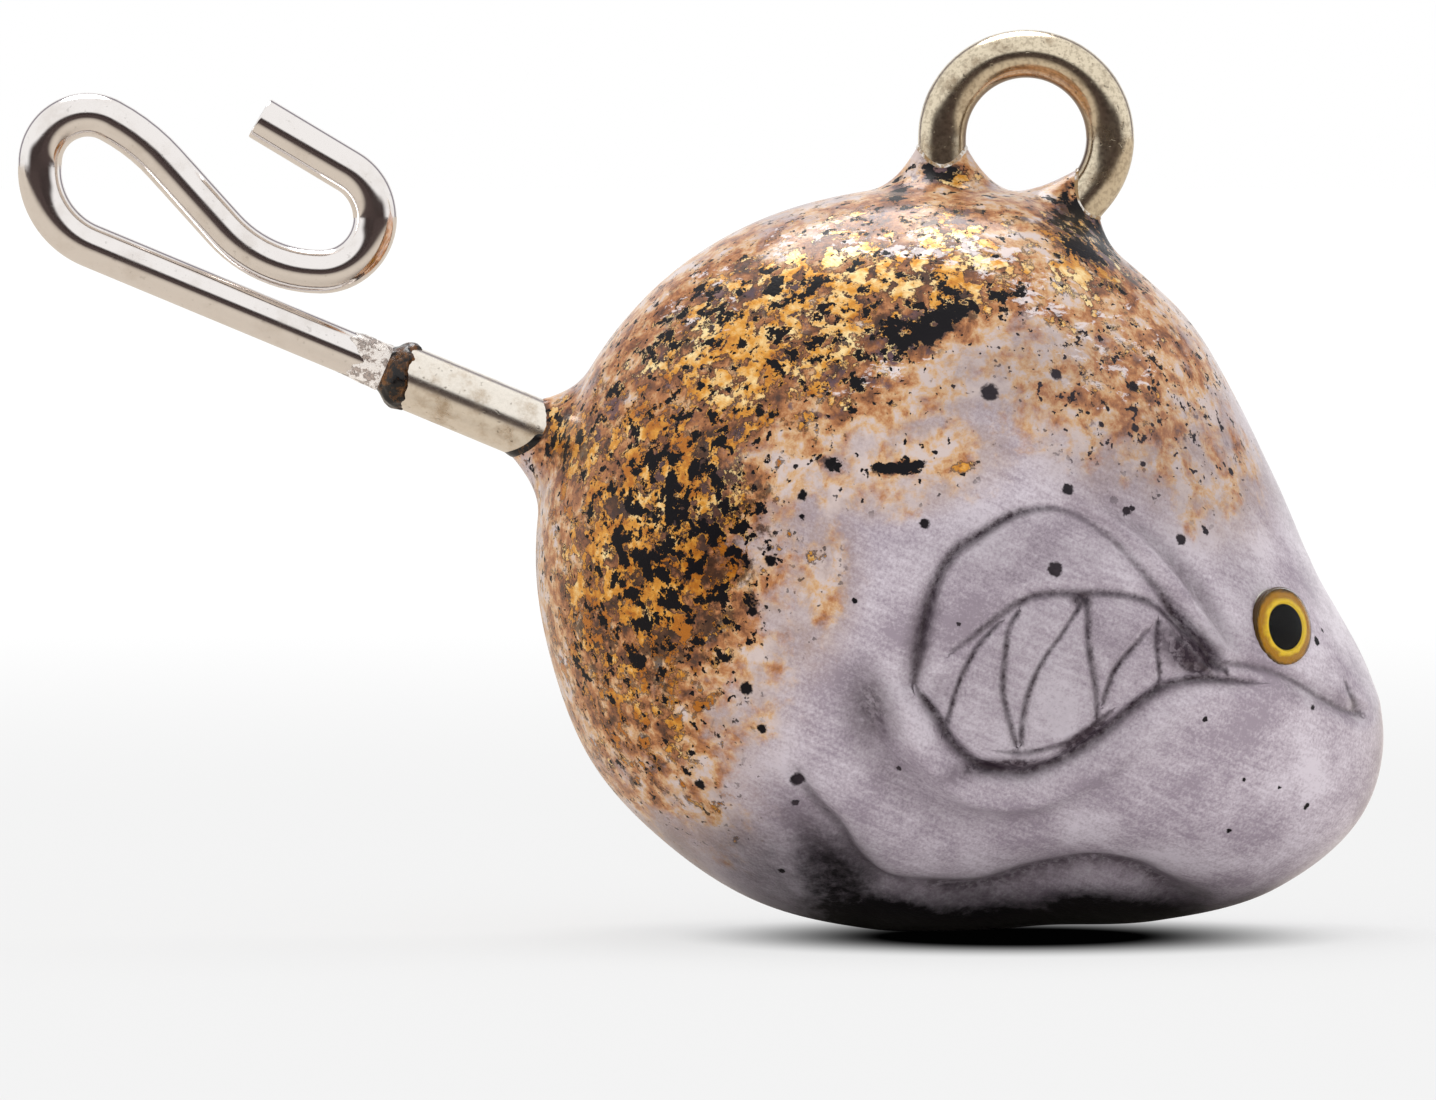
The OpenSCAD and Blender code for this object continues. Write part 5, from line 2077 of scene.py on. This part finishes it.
@dataclass
class Sinker:
    """The whole sinker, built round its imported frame."""

    view: PhotoView = field(default_factory=PhotoView)
    form: HeadForm = field(default_factory=HeadForm)
    ring: LineRing = field(default_factory=LineRing)
    clip: SpringClip = field(default_factory=SpringClip)
    effects: Effects = field(default_factory=Effects)
    entry_depth: float = 5.0 * MM

    def _entry(self, pen: Pen) -> Vector:
        """Where a straight leg that heads into the head meets its smooth outline."""
        inner = pen.ahead(self.entry_depth)
        back = np.array([[-inner.way.x, -inner.way.z]])
        return pen.ahead(self.entry_depth - self.form.reach(np.array((inner.x, inner.z)), back)[0]).place

    def roots(self) -> dict[str, Root]:
        """The three places where metal leaves the lead.

        Returns:
            The roots by name.
        """
        rear, front = self.ring.rear_pen(), self.ring.front_pen()
        outer = self.clip.sleeve_ends()[1]
        radius = self.ring.wire / 2
        sleeve_from = self._entry(Pen(outer.x, outer.z, outer.heading + 180.0))
        above_sleeve = Vector((-outer.way.z, 0, outer.way.x))
        before_leg = Vector((front.way.z, 0, -front.way.x))
        thick = self.clip.sleeve_outer / 2
        return {
            "sleeve": Root(sleeve_from, outer.way, thick, 0.82 * MM, 1.2 * MM, 0.45, 0.18, above_sleeve),
            "rear": Root(self._entry(rear), -rear.way, radius, 1.0 * MM, 1.3 * MM, 0.5),
            "front": Root(
                self._entry(front), -front.way, radius, 0.75 * MM, 1.1 * MM, 0.5, 0.5, before_leg
            ),
        }

    def build(self) -> None:
        """Builds every sub-assembly in order."""
        eyes = [FishEye(side, EyeFinish()) for side in Side]
        roots = self.roots()
        seats = [(eye.face, eye.axis, eye.diameter / 2) for eye in eyes]
        head_maker = CastHead(self.view, self.form, Carving(self.view), list(roots.values()), seats)
        head = head_maker.build()
        lead = LeadFinish().material(self.effects, head_maker.speck_places(head))
        fit(head, lead, "lead", ["lead_body"])
        lead_points = read_points(head)
        self._dress_ring(roots, lead_points)
        self._dress_clip(roots, lead_points)
        for eye in eyes:
            self._dress_eye(eye)

    def _dress_ring(self, roots: dict[str, Root], lead: np.ndarray) -> None:
        """Builds the ring and the lacquer that has crept up its legs, whose near-white paint is a painted
        highlight.

        Args:
            roots: The places where metal leaves the lead.
            lead: Points of the finished head.
        """
        bronze = MetalFinish(
            "lacquered_ring", srgb(228, 214, 188), srgb(114, 84, 50), 0.75, 0.13, 0.2, 0.4, 0.3
        )
        wire = self.ring.build()
        points = read_points(wire)
        from_hub = np.hypot(points[:, 0] - self.ring.hub.x, points[:, 2] - self.ring.hub.z)
        # A darker band round the inner edge of the ring's hole.
        paint(wire, "patchy", np.clip((self.ring.hole / 2 + 0.14 * MM - from_hub) / (0.1 * MM), 0.0, 1.0))
        fit(wire, bronze.material(self.effects), "ring_wire", ["line_ring"])
        # Painted highlight: the lacquer beads are near-white for the glint on their rims, with brown
        # patches.
        clear = LacquerFinish("leg_lacquer_highlight", srgb(226, 220, 212), srgb(150, 116, 70), 0.1, 3.0, 0.5, 0.3)
        lacquer = clear.material(self.effects)
        profile = ((0.002, -0.12), (0.05, -0.07), (0.046, -0.02), (0.02, 0.015), (0.002, 0.025))
        for key, node in (("rear", "ring_rear_bead"), ("front", "ring_front_bead")):
            bead = collar(f"{key}_leg_lacquer_highlight", profile, roots[key], lead)
            fit(bead, lacquer, "clear_lacquer", [node])

    def _dress_clip(self, roots: dict[str, Root], lead: np.ndarray) -> None:
        """Builds the sleeve, the clip's wire, its paint and its glue.

        Args:
            roots: The places where metal leaves the lead.
            lead: Points of the finished head.
        """
        clip = self.clip
        polished = MetalFinish("spring_steel", srgb(240, 235, 232), srgb(196, 184, 172), 0.3, 0.06)
        steel = polished.material(self.effects)
        tube = MetalFinish(
            "lacquered_sleeve", srgb(240, 232, 220), srgb(172, 146, 112), 0.8, 0.14, 0.3, 0.2, 0.06
        )
        fit(clip.build_sleeve(), tube.material(self.effects), "sleeve_metal", ["clip_sleeve"])
        fit(clip.build_shank(), steel, "clip_wire", ["clip_shank"])
        bend, start, end = clip.build_bend()
        bend.data.materials.append(steel)
        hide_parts("clip_bend")
        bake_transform(bend)
        fit(clip.build_arm(end), steel, "clip_wire", ["clip_arm"], Body.ARM)
        dark = LacquerFinish(
            "mouth_paint", srgb(14, 11, 12), srgb(104, 66, 30), 0.14, 2.6, 0.52, 0.4, 0.06, 0.5, 0.25
        )
        fit(clip.build_mouth_paint(), dark.material(self.effects), "dark_paint", ["sleeve_mouth_bead"])
        black = LacquerFinish(
            "root_paint", srgb(18, 14, 16), srgb(104, 70, 36), 0.16, 3.0, 0.5, 0.3, 0.1, 0.5, 0.25
        )
        root = roots["sleeve"]
        profile = ((0.002, -0.2), (0.035, -0.14), (0.04, 0.0), (0.025, 0.08), (0.002, 0.16))
        ring = collar("sleeve_root_paint", profile, root, lead)
        self._sink_above(ring, root)
        fit(ring, black.material(self.effects), "dark_paint", ["sleeve_root_bead"])
        resin = LacquerFinish("glue", srgb(234, 226, 218), srgb(172, 156, 146), 0.08, 5.0, 0.54, 0.9)
        fit(clip.build_glue(), resin.material(self.effects), "epoxy", ["clip_glue"])

    def _sink_above(self, ring: Piece, root: Root) -> None:
        """Lets a ring of paint thin out to nothing over the upper part of the metal, with a ragged end."""
        _, outwards, away = round_axis(read_points(ring), root.place, root.way)
        bare = np.clip((outwards[:, 2] + 0.25 + 0.12 * np.sin(14.0 * outwards[:, 1])) / 0.2, 0.0, 1.0)
        sink_to(ring, root.metal - 0.02 * MM, bare, outwards, away)

    def _dress_eye(self, eye: FishEye) -> None:
        """Builds one eye on its packed pad."""
        finish = eye.finish
        disc = finish.disc(eye.face, eye.axis, eye.diameter / 2)
        fit(eye.build_disc(), disc, "eye_iris", [f"{eye.name}_eye_iris"])
        fit(eye.build_pupil(), finish.pupil(), "eye_pupil", [f"{eye.name}_eye_pupil"])
        fit(eye.build_cap(), finish.cap(), "eye_dome", [f"{eye.name}_eye_dome"])
        pad = LacquerFinish("eye_pad", srgb(214, 212, 204), srgb(196, 192, 180), 0.5).material(self.effects)
        node = bpy.data.objects[f"{eye.name}_eye_pad"]
        node.data.materials.clear()
        node.data.materials.append(pad)


def main() -> None:
    """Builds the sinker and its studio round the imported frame."""
    logging.basicConfig(level=logging.INFO, format="%(name)s: %(message)s")
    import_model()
    sinker = Sinker()
    sinker.view.set_camera()
    Studio().build()
    sinker.build()


if __name__ == "__main__":
    main()
